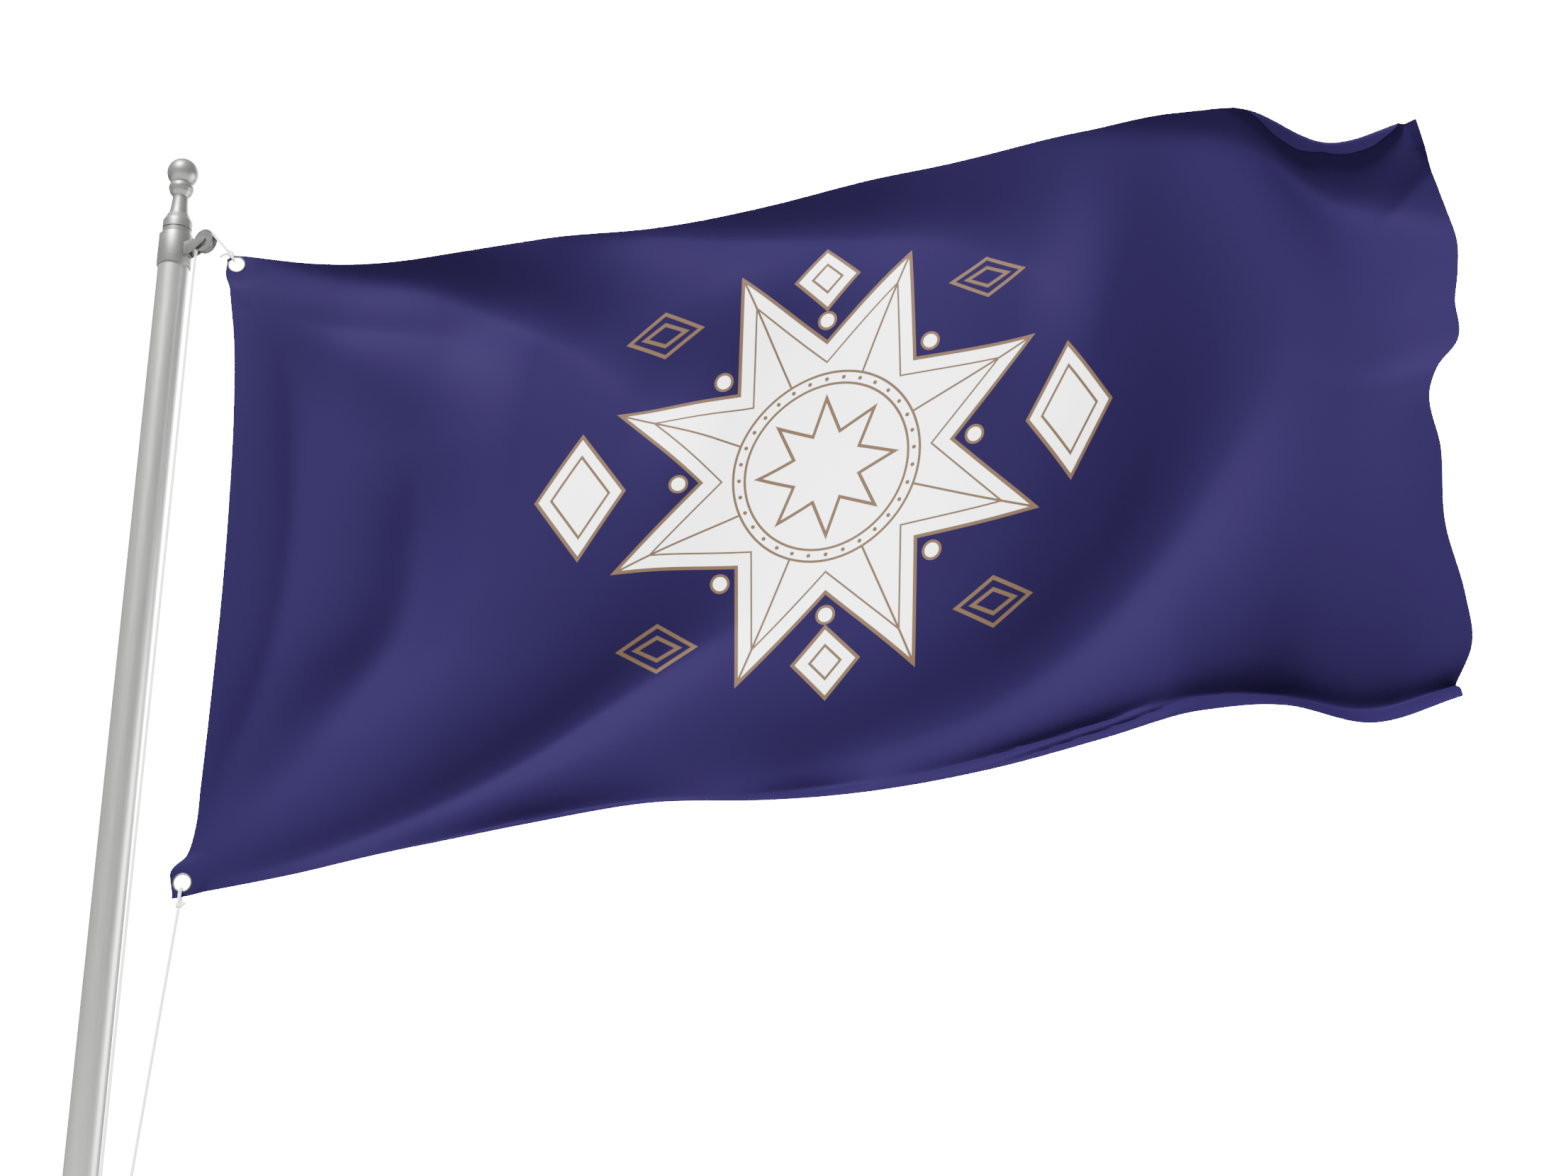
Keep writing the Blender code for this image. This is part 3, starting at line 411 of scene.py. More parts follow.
# ties, as (along the fly, up, out of the cloth) from the eyelet's centre
ties = dict(
    upper=dict(
        knot=(-0.0118, 0.0180, 0.0), knotRadius=0.0052,
        front=[(-0.0106, 0.0165, 0.0028), (-0.0084, 0.0128, 0.0049), (-0.0064, 0.0092, 0.0048),
               (-0.0049, 0.0070, 0.0028), (-0.0046, 0.0066, 0.0000)],
        tail=[(-0.0128, 0.0175, 0.0010), (-0.0178, 0.0150, 0.0030), (-0.0218, 0.0125, 0.0035),
              (-0.0258, 0.0092, 0.0030)]),
    lower=dict(
        knot=(-0.0080, -0.0300, 0.0), knotRadius=0.0052,
        front=[(-0.0072, -0.0275, 0.0028), (-0.0060, -0.0225, 0.0044), (-0.0046, -0.0170, 0.0048),
               (-0.0030, -0.0110, 0.0048), (-0.0023, -0.0082, 0.0028), (-0.0020, -0.0077, 0.0000)],
        tail=[(-0.0070, -0.0300, 0.0010), (-0.0030, -0.0310, 0.0030), (0.0010, -0.0290, 0.0038)]),
)
knotTurns = dict(turns=2.5, spread=0.0052, radius=0.0030, stepsATurn=10)


def armPlace(out, aside, rise):
    turn = math.radians(pulley["bearing"])
    c, s = math.cos(turn), math.sin(turn)
    return Vector((out * c - aside * s, out * s + aside * c, rise))


def smoothRoute(points, step, most):
    route = [Vector(p) for p in points]
    knots = [0.0]
    for a, b in zip(route, route[1:]):
        knots.append(knots[-1] + max((b - a).length, 1e-6) ** 0.5)
    slopes = []
    for k in range(len(route)):
        low, high = max(k - 1, 0), min(k + 1, len(route) - 1)
        if low == k or high == k:
            slopes.append((route[high] - route[low]) / (knots[high] - knots[low]))
            continue
        before = (route[k] - route[low]) / (knots[k] - knots[low])
        after = (route[high] - route[k]) / (knots[high] - knots[k])
        share = (knots[k] - knots[low]) / (knots[high] - knots[low])
        slopes.append(before * (1 - share) + after * share)
    out = [route[0]]
    for k in range(len(route) - 1):
        width = knots[k + 1] - knots[k]
        steps = min(most, max(1, round((route[k + 1] - route[k]).length / step)))
        for n in range(1, steps + 1):
            out.append(hermite((route[k], route[k + 1]), (slopes[k], slopes[k + 1]), 0, width, n / steps))
    return out


def halyardRoute():
    radius = pulley["groove"] + rope["width"] / 2 + 2 * gap
    wrap = []
    for k in range(pulley["wrapSteps"] + 1):
        turn = pulley["wrapStart"] + (pulley["wrapEnd"] - pulley["wrapStart"]) * k / pulley["wrapSteps"]
        turn = math.radians(turn)
        out, rise = radius * math.cos(turn), radius * math.sin(turn)
        wrap.append(armPlace(pulley["axleOut"] + out, 0, pulley["axleRise"] + rise))
    fall = [armPlace(out, aside, rise + cleatRise) for out, aside, rise in halyardFall]
    upper = eyeletMatrix("upper") @ Vector(ties["upper"]["knot"])
    lower = eyeletMatrix("lower") @ Vector(ties["lower"]["knot"])
    start = upper + (wrap[0] - upper).normalized() * (ties["upper"]["knotRadius"] + gap)
    end = lower + (fall[-1] - lower).normalized() * (ties["lower"]["knotRadius"] + gap)
    return smoothRoute([start] + wrap + fall + [end], 0.0085, 3)


def evenRoute(points, step):  # the same route at even steps
    points = np.array([tuple(p) for p in points])
    lengths = np.concatenate([[0], np.cumsum(np.linalg.norm(np.diff(points, axis=0), axis=1))])
    at = np.linspace(0, lengths[-1], max(3, int(lengths[-1] / step)))
    return np.stack([np.interp(at, lengths, points[:, k]) for k in range(3)], axis=1), at


def ropeTube(name, route):
    fine = smoothRoute(route, rope["ringStep"], 40)
    rings, at = evenRoute(fine, rope["ringStep"])
    heading = np.gradient(rings, axis=0)
    heading /= np.linalg.norm(heading, axis=1)[:, None]
    side = np.cross(heading[0], (0.0, 1.0, 0.0) if abs(heading[0][1]) < 0.9 else (1.0, 0.0, 0.0))
    sides, radius = rope["sides"], rope["width"] / 2
    verts = []
    for ring, ahead, length in zip(rings, heading, at):
        side = side - ahead * side.dot(ahead)
        side /= np.linalg.norm(side)
        other = np.cross(ahead, side)
        for k in range(sides):
            turn = 2 * math.pi * k / sides
            lift = rope["relief"] * (abs(math.sin(rope["strands"] / 2 * turn + math.pi * length / rope["pitch"] * 2))
                                     + abs(math.sin(rope["strands"] / 2 * turn - math.pi * length / rope["pitch"] * 2)) - 1.3)
            reach = radius * (1 + lift)
            verts.append(ring + reach * (math.cos(turn) * side + math.sin(turn) * other))
    count = len(rings)
    faces, coords = [], []
    for k in range(count - 1):
        for n in range(sides):
            m = (n + 1) % sides
            faces.append((k * sides + n, k * sides + m, (k + 1) * sides + m, (k + 1) * sides + n))
            u, w = n / sides, (n + 1) / sides
            coords += [(u, at[k]), (w, at[k]), (w, at[k + 1]), (u, at[k + 1])]
    faces.append(tuple(reversed(range(sides))))
    coords += [(0.5, at[0])] * sides
    faces.append(tuple((count - 1) * sides + n for n in range(sides)))
    coords += [(0.5, at[-1])] * sides
    mesh = bpy.data.meshes.new(name)
    mesh.from_pydata([tuple(v) for v in verts], [], faces)
    layer = mesh.uv_layers.new(name="braid")
    for loop, place in zip(layer.data, coords):
        loop.uv = place
    mesh.shade_smooth()
    mesh.validate()
    tube = bpy.data.objects.new(name, mesh)
    bpy.context.scene.collection.objects.link(tube)
    return tube


def makeHalyard(material):
    route = halyardRoute()
    halyard = finishPiece(ropeTube("halyardRope", route), "halyardRope", material, "rope", "halyard")
    for which in ties:
        makeTie(which, material)


def makeTie(which, material):
    tie = ties[which]
    place = eyeletMatrix(which)
    knot = Vector(tie["knot"])
    axis = (Vector(tie["front"][0]) - Vector(tie["front"][-1])).normalized()
    side = axis.cross(Vector((0, 0, 1))).normalized()
    other = axis.cross(side)
    back = [(a, up, -out) for a, up, out in reversed(tie["front"][:-1])]
    turns = []
    steps = int(knotTurns["turns"] * knotTurns["stepsATurn"])
    for k in range(steps + 1):
        share = k / steps
        turn = 2 * math.pi * knotTurns["turns"] * share
        along = knotTurns["spread"] * (0.5 - share)
        around = math.cos(turn) * side + math.sin(turn) * other
        turns.append(knot + axis * along + around * knotTurns["radius"])
    route = [place @ Vector(p) for p in tie["front"] + back + turns + tie["tail"]]
    return finishPiece(ropeTube(f"{which}Tie", route), f"{which}Tie", material, "rope", f"tie_{which}")


# Cloth

def crowded(share):  # even steps drawn closer together towards both ends
    return share - cloth["edgeCrowding"] * np.sin(2 * math.pi * share) / (2 * math.pi)


def punchHole(piece, which):
    deselectAll()
    bpy.ops.mesh.primitive_cylinder_add(vertices=64, radius=cloth["hole"], depth=0.05)
    punch = bpy.context.object
    punch.matrix_world = eyeletMatrix(which)
    change = piece.modifiers.new("hole", "BOOLEAN")
    change.operation, change.object = "DIFFERENCE", punch
    applyAll(piece)
    bpy.data.objects.remove(punch, do_unlink=True)


def foldCorner(flag):  # the upper hoist corner turns over and lies on the eyelet's ring
    place = eyeletMatrix("upper")
    away = place.to_3x3() @ Vector((-1, 1, 0)).normalized()
    out = place.to_3x3() @ Vector((0, 0, 1))
    line = place.translation + away * flap["line"]
    pick(flag)
    for step in range(flap["bends"] + 1):
        bpy.ops.object.mode_set(mode="EDIT")
        bpy.ops.mesh.select_all(action="SELECT")
        at = line + away * (flap["radius"] * math.pi * step / flap["bends"] / flap["stretch"])
        bpy.ops.mesh.bisect(plane_co=at, plane_no=away)
        bpy.ops.object.mode_set(mode="OBJECT")
    radius = flap["radius"]
    for corner in flag.data.vertices:
        off = corner.co - line
        if off.length > flap["reach"] or off.dot(away) <= 0:
            continue
        length = off.dot(away) * flap["stretch"]
        rise = off.dot(out)
        turn = min(length / radius, math.pi)
        beyond = max(length - math.pi * radius, 0)
        across = off - away * off.dot(away) - out * rise
        reach = (radius - rise) * math.sin(turn) - beyond
        lift = radius - (radius - rise) * math.cos(turn)
        corner.co = line + across + away * reach + out * lift


def makeCloth(material):
    deselectAll()
    bpy.ops.mesh.primitive_grid_add(x_subdivisions=cloth["flyCells"], y_subdivisions=cloth["dropCells"], size=1)
    flag = bpy.context.object
    mesh = flag.data
    flat = np.empty(len(mesh.vertices) * 3)
    mesh.vertices.foreach_get("co", flat)
    flat = flat.reshape(-1, 3)
    fly = (flat[:, 0] + 0.5) * cloth["fly"]
    drop = crowded(0.5 - flat[:, 1]) * cloth["hoist"]
    mesh.vertices.foreach_set("co", clothPlaces(fly, drop).ravel())
    mesh.uv_layers.active.name = "cut"
    corners = np.empty(len(mesh.loops), int)
    mesh.loops.foreach_get("vertex_index", corners)
    mesh.uv_layers["cut"].data.foreach_set("uv", np.stack([fly[corners], drop[corners]], axis=1).ravel())
    mesh.update()
    thicken = flag.modifiers.new("thickness", "SOLIDIFY")
    thicken.thickness, thicken.offset = cloth["thick"], 0
    applyAll(flag)
    for which in eyelets:
        punchHole(flag, which)
    foldCorner(flag)
    pick(flag)
    bpy.ops.object.shade_smooth_by_angle(angle=math.radians(50))
    finishPiece(flag, "flagCloth", material, "cloth", "flag")
    print("cloth", len(mesh.polygons), "faces")


def makeEyelets(material):
    half, lip = eyelet["seat"], eyelet["flange"]
    bore, rim = eyelet["bore"], eyelet["rim"]
    middle, reach = (bore + rim) / 2, (rim - bore) / 2
    arcSteps = 10
    for which in eyelets:
        profile = []
        for side in (1, -1):
            arc = [math.pi * k / arcSteps for k in range(arcSteps + 1)]
            for turn in (arc if side > 0 else arc[::-1]):
                profile.append((middle + reach * math.cos(turn), side * (half + lip * math.sin(turn))))
        profile.insert(arcSteps + 1, (bore, 0))
        ring = turnProfile(profile, eyelet["steps"], eyeletMatrix(which), True)
        finishPiece(ring, f"{which}Eyelet", material, "ring_metal", f"eyelet_{which}")


# Pole and head

pole = dict(
    radius=0.0235, wall=0.0020, head=1.7856, facets=128, recess=0.06,
    sleeveRadius=0.0260, sleeveFoot=1.7335, sleeveHead=1.7859, ease=0.0007,
    collarRadius=0.0222, seamRadius=0.0208, seam=0.0010, capFoot=1.7970,
)
finial = dict(
    capRadius=0.0225, capHeight=0.0135, flareRadius=0.0150, flareHeight=0.0265,
    stemRadius=0.0120, stemHeight=0.0557, knobRadius=0.0193, knobHeight=0.0720,
    ballRadius=0.0240, ballHeight=0.0996, waistAngle=-51, ballSteps=28,
)


def makePole(material):
    deselectAll()
    bpy.ops.mesh.primitive_cylinder_add(
        vertices=pole["facets"], radius=pole["radius"], depth=pole["head"], location=(0, 0, pole["head"] / 2))
    tube = bpy.context.object
    bakePlace(tube)
    bpy.ops.object.mode_set(mode="EDIT")
    bpy.ops.mesh.select_mode(type="FACE")
    bpy.ops.mesh.select_all(action="DESELECT")
    bpy.ops.object.mode_set(mode="OBJECT")
    for face in tube.data.polygons:
        face.select = face.normal.z < -0.9
    bpy.ops.object.mode_set(mode="EDIT")
    bpy.ops.mesh.inset(thickness=pole["wall"])
    bpy.ops.mesh.extrude_region_move(TRANSFORM_OT_translate={"value": (0, 0, pole["recess"])})
    bpy.ops.object.mode_set(mode="OBJECT")
    bpy.ops.object.shade_smooth_by_angle(angle=math.radians(32))
    finishPiece(tube, "poleTube", material, "satin_metal", "pole")


def makeTruck(material):
    ease, inner = pole["ease"], pole["radius"] + gap
    head, foot, radius = pole["sleeveHead"], pole["sleeveFoot"], pole["sleeveRadius"]
    profile = [
        (radius - ease, head), (radius - ease * 0.3, head - ease * 0.3), (radius, head - ease),
        (radius, foot + ease), (radius - ease * 0.3, foot + ease * 0.3), (radius - ease, foot),
        (inner, foot), (inner, head)]
    sleeve = turnProfile(profile, pole["facets"], Matrix.Identity(4), True)
    finishPiece(sleeve, "truckSleeve", material, "satin_metal", "truck_sleeve")
    top = pole["capFoot"] - gap
    shoulder, collar = top - pole["seam"], pole["collarRadius"]
    profile = [
        (0, top), (pole["seamRadius"], top), (pole["seamRadius"], shoulder), (collar - ease * 0.5, shoulder),
        (collar, shoulder - ease * 0.5), (collar, head), (0, head)]
    ring = turnProfile(profile, pole["facets"], Matrix.Identity(4), False)
    finishPiece(ring, "truckCollar", material, "satin_metal", "truck_collar")


def makeFinial(material):
    steps = finial["ballSteps"]
    waist = math.radians(finial["waistAngle"])
    profile = [(0, finial["ballHeight"] + finial["ballRadius"])]
    for k in range(1, steps + 1):
        turn = math.pi / 2 + (waist - math.pi / 2) * k / steps
        rise = finial["ballHeight"] + finial["ballRadius"] * math.sin(turn)
        profile.append((finial["ballRadius"] * math.cos(turn), rise))
    knob, stem = finial["knobRadius"], finial["stemRadius"]
    knobHeight, stemHeight = finial["knobHeight"], finial["stemHeight"]
    flare, flareHeight = finial["flareRadius"], finial["flareHeight"]
    cap, capHeight = finial["capRadius"], finial["capHeight"]
    profile += [(knob - 0.0024, knobHeight + 0.0075), (knob - 0.0012, knobHeight + 0.0052)]
    profile += [(knob - 0.0004, knobHeight + 0.0030), (knob, knobHeight), (knob - 0.0006, knobHeight - 0.0030)]
    neckSteps = 8
    for k in range(neckSteps + 1):  # from the knob down to the slim neck, and out again to the flare
        share = k / neckSteps
        ease = 0.5 - 0.5 * math.cos(math.pi * share)
        profile.append((knob - 0.0020 + (stem - knob + 0.0020) * ease, knobHeight - 0.0060
                        + (stemHeight - knobHeight + 0.0060) * share))
    for k in range(1, neckSteps + 1):
        share = k / neckSteps
        profile.append((stem + (flare - stem) * share**1.6, stemHeight + (flareHeight - stemHeight) * share))
    profile += [
        (flare + 0.0016, flareHeight - 0.0010), (cap - 0.0012, capHeight + 0.0020),
        (cap - 0.0003, capHeight + 0.0008), (cap, capHeight), (cap, 0.0), (0, 0)]
    profile = [(radius, height + pole["capFoot"]) for radius, height in profile]
    turned = turnProfile(profile, pole["facets"], Matrix.Identity(4), False)
    finishPiece(turned, "finialBall", material, "satin_metal", "finial")


# Pulley and cleat

sheave = dict(bore=0.0033, radius=0.0185, half=0.00625, groove=0.0140, grooveHalf=0.0026, lip=0.0052, hub=0.0062)
edgeRounding = dict(width=0.00055, segments=3, angle=38)
casting = dict(voxel=0.00075, smoothing=5)


def axleMatrix():
    place = Matrix.Translation(armPlace(pulley["axleOut"], 0, pulley["axleRise"]))
    return place @ Matrix.Rotation(math.radians(pulley["bearing"]), 4, "Z") @ Matrix.Rotation(math.pi / 2, 4, "X")


def copyOfNode(node):  # a merged copy of a solid, to be finished more finely
    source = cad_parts[node]
    piece = bpy.data.objects.new(node + "Copy", source.data.copy())
    bpy.context.scene.collection.objects.link(piece)
    pick(piece)
    bpy.ops.object.mode_set(mode="EDIT")
    bpy.ops.mesh.select_all(action="SELECT")
    bpy.ops.mesh.remove_doubles(threshold=0.00001)
    bpy.ops.mesh.dissolve_limited(angle_limit=math.radians(1))
    bpy.ops.object.mode_set(mode="OBJECT")
    return piece


def makeFork(material):
    fork = copyOfNode("pulley_bracket")
    rounding = fork.modifiers.new("edges", "BEVEL")
    rounding.width, rounding.segments = edgeRounding["width"], edgeRounding["segments"]
    rounding.limit_method, rounding.angle_limit = "ANGLE", math.radians(edgeRounding["angle"])
    applyAll(fork)
    bpy.ops.object.shade_smooth_by_angle(angle=math.radians(35))
    finishPiece(fork, "pulleyFork", material, "grey_metal", "pulley_bracket")


def makeSheave(material):
    grooveSteps = 8
    half, radius, ease = sheave["half"], sheave["radius"], 0.0006
    upper = [
        (sheave["bore"], half), (sheave["hub"], half), (sheave["hub"] + 0.0006, half - 0.0008),
        (radius - 0.0030, half - 0.0008), (radius - 0.0022, half - 0.0001), (radius - ease, half - 0.0001),
        (radius - ease * 0.3, half - ease * 0.3), (radius, half - ease), (radius, sheave["lip"])]
    groove = []
    for k in range(1, grooveSteps):
        share = 2 * k / grooveSteps - 1
        reach = sheave["groove"] + (radius - sheave["groove"]) * abs(share) ** 2.4
        groove.append((reach, -sheave["lip"] * share))
    lower = [(r, -h) for r, h in reversed(upper)]
    wheel = turnProfile(upper + groove + lower, 96, axleMatrix(), True)
    finishPiece(wheel, "pulleyWheel", material, "grey_metal", "sheave", on="sheave")


def makeCleat(material):
    cleat = copyOfNode("cleat")
    cast = cleat.modifiers.new("cast", "REMESH")
    cast.mode, cast.voxel_size = "VOXEL", casting["voxel"]
    soften = cleat.modifiers.new("soften", "SMOOTH")
    soften.factor, soften.iterations = 0.5, casting["smoothing"]
    applyAll(cleat)
    cleat.data.shade_smooth()
    finishPiece(cleat, "castCleat", material, "satin_metal", "cleat")


# Finishes

finishes = dict(
    cloth=dict(
        navy=(0.0085, 0.0051, 0.0268), navyLight=(0.0099, 0.0060, 0.0302), white=(0.94, 0.94, 0.94),
        thread=(0.080, 0.051, 0.030), roughness=0.60, gloss=0.03, glossTint=(0.42, 0.34, 0.85)),
    satinMetal=dict(colour=(0.34, 0.34, 0.330), dark=(0.29, 0.29, 0.281), metallic=0.75, roughness=0.34),
    headMetal=dict(colour=(0.18, 0.18, 0.175), dark=(0.15, 0.15, 0.145), metallic=0.75, roughness=0.38),
    greyMetal=dict(colour=(0.080, 0.080, 0.078), dark=(0.058, 0.058, 0.056), metallic=0.35, roughness=0.42),
    ringMetal=dict(colour=(0.085, 0.085, 0.079), dark=(0.058, 0.058, 0.053), metallic=0.50, roughness=0.42),
    # the rope's dark colour is painted shade, laid into the grooves between the braid's strands
    rope=dict(colour=(0.84, 0.84, 0.83), dark=(0.60, 0.60, 0.58), roughness=0.82),
)

# the printed figure: an eight-pointed star with lozenges about it, sizes in metres on the cut cloth
design = dict(
    centre=(1.0, 0.475), points=8, outer=0.368, inner=0.205, line=0.0060, inset=0.024,
    rings=(0.153, 0.134), small=dict(outer=0.112, inner=0.058), facet=0.0042,
    studs=dict(count=32, ring=0.1435, radius=0.0036), beads=dict(count=8, ring=0.242, radius=0.0135),
    lozenges=[  # out, up, half width, half height, filled
        (0.400, 0.000, 0.070, 0.108, 1), (0.000, 0.318, 0.052, 0.056, 1),
        (0.270, 0.270, 0.060, 0.036, 0), (0.270, 0.270, 0.034, 0.018, 0)],
    edge=0.0008,
)


class Sums:  # writes sums as Math nodes in one tree
    def __init__(self, tree):
        self.tree = tree

    def put(self, operation, *values, clamp=False):
        node = self.tree.nodes.new("ShaderNodeMath")
        node.operation, node.use_clamp = operation, clamp
        for socket, value in zip(node.inputs, values):
            if isinstance(value, (int, float)):
                socket.default_value = value
            else:
                self.tree.links.new(value, socket)
        return node.outputs[0]

    def within(self, distance):  # 1 inside, 0 outside, with a narrow soft edge
        return self.put("MULTIPLY_ADD", distance, -1 / design["edge"], 0.5, clamp=True)

    def outline(self, distance, width):
        away = self.put("SUBTRACT", self.put("ABSOLUTE", distance), width / 2)
        return self.within(away)


def newGroup(name, inputs, outputs):
    group = bpy.data.node_groups.new(name, "ShaderNodeTree")
    for label, kind, value in inputs:
        socket = group.interface.new_socket(label, in_out="INPUT", socket_type=kind)
        if value is not None:
            socket.default_value = value
    for label, kind in outputs:
        group.interface.new_socket(label, in_out="OUTPUT", socket_type=kind)
    return group, group.nodes.new("NodeGroupInput"), group.nodes.new("NodeGroupOutput")


def starDistance(sums, reach, turn, outer, inner, shift):
    step = math.pi / design["points"]
    away = sums.put("PINGPONG", sums.put("ADD", turn, shift + 2 * math.pi), step)
    x = sums.put("MULTIPLY", reach, sums.put("COSINE", away))
    y = sums.put("MULTIPLY", reach, sums.put("SINE", away))
    ex, ey = inner * math.cos(step) - outer, inner * math.sin(step)
    length = math.hypot(ex, ey)
    nx, ny = ey / length, -ex / length
    return sums.put("ADD", sums.put("MULTIPLY_ADD", x, nx, -outer * nx), sums.put("MULTIPLY", y, ny))


def beadDistance(sums, reach, turn, beads):  # a ring of round beads
    away = sums.put("PINGPONG", sums.put("ADD", turn, 2 * math.pi), math.pi / beads["count"])
    x = sums.put("MULTIPLY_ADD", reach, sums.put("COSINE", away), -beads["ring"])
    y = sums.put("MULTIPLY", reach, sums.put("SINE", away))
    far = sums.put("SQRT", sums.put("ADD", sums.put("MULTIPLY", x, x), sums.put("MULTIPLY", y, y)))
    return sums.put("SUBTRACT", far, beads["radius"])


def makeDesignGroup():
    group, start, end = newGroup(
        "printedFigure", [("Cut", "NodeSocketVector", None)], [("White", "NodeSocketFloat"), ("Line", "NodeSocketFloat")])
    sums = Sums(group)
    split = group.nodes.new("ShaderNodeSeparateXYZ")
    group.links.new(start.outputs["Cut"], split.inputs[0])
    x = sums.put("SUBTRACT", split.outputs["X"], design["centre"][0])
    y = sums.put("SUBTRACT", split.outputs["Y"], design["centre"][1])
    reach = sums.put("SQRT", sums.put("ADD", sums.put("MULTIPLY", x, x), sums.put("MULTIPLY", y, y)))
    turn = sums.put("ARCTAN2", y, x)
    half = math.pi / design["points"]
    line = design["line"]
    star = starDistance(sums, reach, turn, design["outer"], design["inner"], half)
    small = starDistance(sums, reach, turn, design["small"]["outer"], design["small"]["inner"], 0.0)
    white, lines = sums.within(star), sums.outline(star, line)
    lines = sums.put("MAXIMUM", lines, sums.outline(small, line))
    for ring in design["rings"]:
        lines = sums.put("MAXIMUM", lines, sums.outline(sums.put("SUBTRACT", reach, ring), line * 0.8))
    away = sums.put("PINGPONG", sums.put("ADD", turn, half + 2 * math.pi), half)
    spoke = sums.put("MULTIPLY", reach, sums.put("SINE", away))
    spoke = sums.within(sums.put("SUBTRACT", spoke, design["facet"] / 2))
    outside = sums.put("GREATER_THAN", reach, design["rings"][0])
    lines = sums.put("MAXIMUM", lines, sums.put("MULTIPLY", sums.put("MULTIPLY", spoke, outside), white))
    inset = sums.outline(sums.put("ADD", star, design["inset"]), line * 0.6)
    lines = sums.put("MAXIMUM", lines, sums.put("MULTIPLY", inset, outside))
    lines = sums.put("MAXIMUM", lines, sums.within(beadDistance(sums, reach, turn, design["studs"])))
    bead = beadDistance(sums, reach, turn, design["beads"])
    white = sums.put("MAXIMUM", white, sums.within(bead))
    lines = sums.put("MAXIMUM", lines, sums.outline(bead, line * 0.8))
    awayX, awayY = sums.put("ABSOLUTE", x), sums.put("ABSOLUTE", y)
    for out, up, halfWidth, halfHeight, filled in design["lozenges"]:
        across = sums.put("ABSOLUTE", sums.put("SUBTRACT", awayX, out))
        rise = sums.put("ABSOLUTE", sums.put("SUBTRACT", awayY, up))
        length = math.hypot(halfWidth, halfHeight)
        a, b = halfHeight / length, halfWidth / length
        distance = sums.put("MULTIPLY_ADD", across, a, -halfWidth * a)
        distance = sums.put("ADD", distance, sums.put("MULTIPLY", rise, b))
        lines = sums.put("MAXIMUM", lines, sums.outline(distance, line))
        if filled:
            white = sums.put("MAXIMUM", white, sums.within(distance))
            lines = sums.put("MAXIMUM", lines, sums.outline(sums.put("ADD", distance, 0.020), line * 0.8))
    group.links.new(white, end.inputs["White"])
    group.links.new(lines, end.inputs["Line"])
    return group


def makeGrainGroup():
    group, start, end = newGroup(
        "fineGrain",
        [("Place", "NodeSocketVector", None), ("Scale", "NodeSocketFloat", 60.0), ("Contrast", "NodeSocketFloat", 1.0)],
        [("Value", "NodeSocketFloat"), ("Height", "NodeSocketFloat")])
    coarse = group.nodes.new("ShaderNodeTexNoise")
    fine = group.nodes.new("ShaderNodeTexNoise")
    sums = Sums(group)
    group.links.new(start.outputs["Place"], coarse.inputs["Vector"])
    group.links.new(start.outputs["Place"], fine.inputs["Vector"])
    group.links.new(start.outputs["Scale"], coarse.inputs["Scale"])
    group.links.new(sums.put("MULTIPLY", start.outputs["Scale"], 7.0), fine.inputs["Scale"])
    coarse.inputs["Detail"].default_value, fine.inputs["Detail"].default_value = 3.0, 5.0
    blend = sums.put("MULTIPLY_ADD", fine.outputs["Fac"], 0.4, sums.put("MULTIPLY", coarse.outputs["Fac"], 0.6))
    centred = sums.put("MULTIPLY", sums.put("SUBTRACT", blend, 0.5), start.outputs["Contrast"])
    group.links.new(sums.put("ADD", centred, 0.5, clamp=True), end.inputs["Value"])
    group.links.new(fine.outputs["Fac"], end.inputs["Height"])
    return group


def startMaterial(name):
    material = bpy.data.materials.new(name)
    material.use_nodes = True
    tree = material.node_tree
    return material, tree, tree.nodes["Principled BSDF"]


def useGroup(tree, group):
    node = tree.nodes.new("ShaderNodeGroup")
    node.node_tree = group
    return node


def mixColour(tree, share, first, second):
    mix = tree.nodes.new("ShaderNodeMix")
    mix.data_type = "RGBA"
    for socket, value in ((mix.inputs[0], share), (mix.inputs[6], first), (mix.inputs[7], second)):
        if isinstance(value, tuple):
            socket.default_value = (*value, 1)
        else:
            tree.links.new(value, socket)
    return mix.outputs[2]


def addBump(tree, shader, height, strength, distance):
    bump = tree.nodes.new("ShaderNodeBump")
    bump.inputs["Strength"].default_value = strength
    bump.inputs["Distance"].default_value = distance
    tree.links.new(height, bump.inputs["Height"])
    tree.links.new(bump.outputs["Normal"], shader.inputs["Normal"])


def stretched(tree, source, scale):
    mapping = tree.nodes.new("ShaderNodeMapping")
    mapping.inputs["Scale"].default_value = scale
    tree.links.new(source, mapping.inputs["Vector"])
    return mapping.outputs["Vector"]


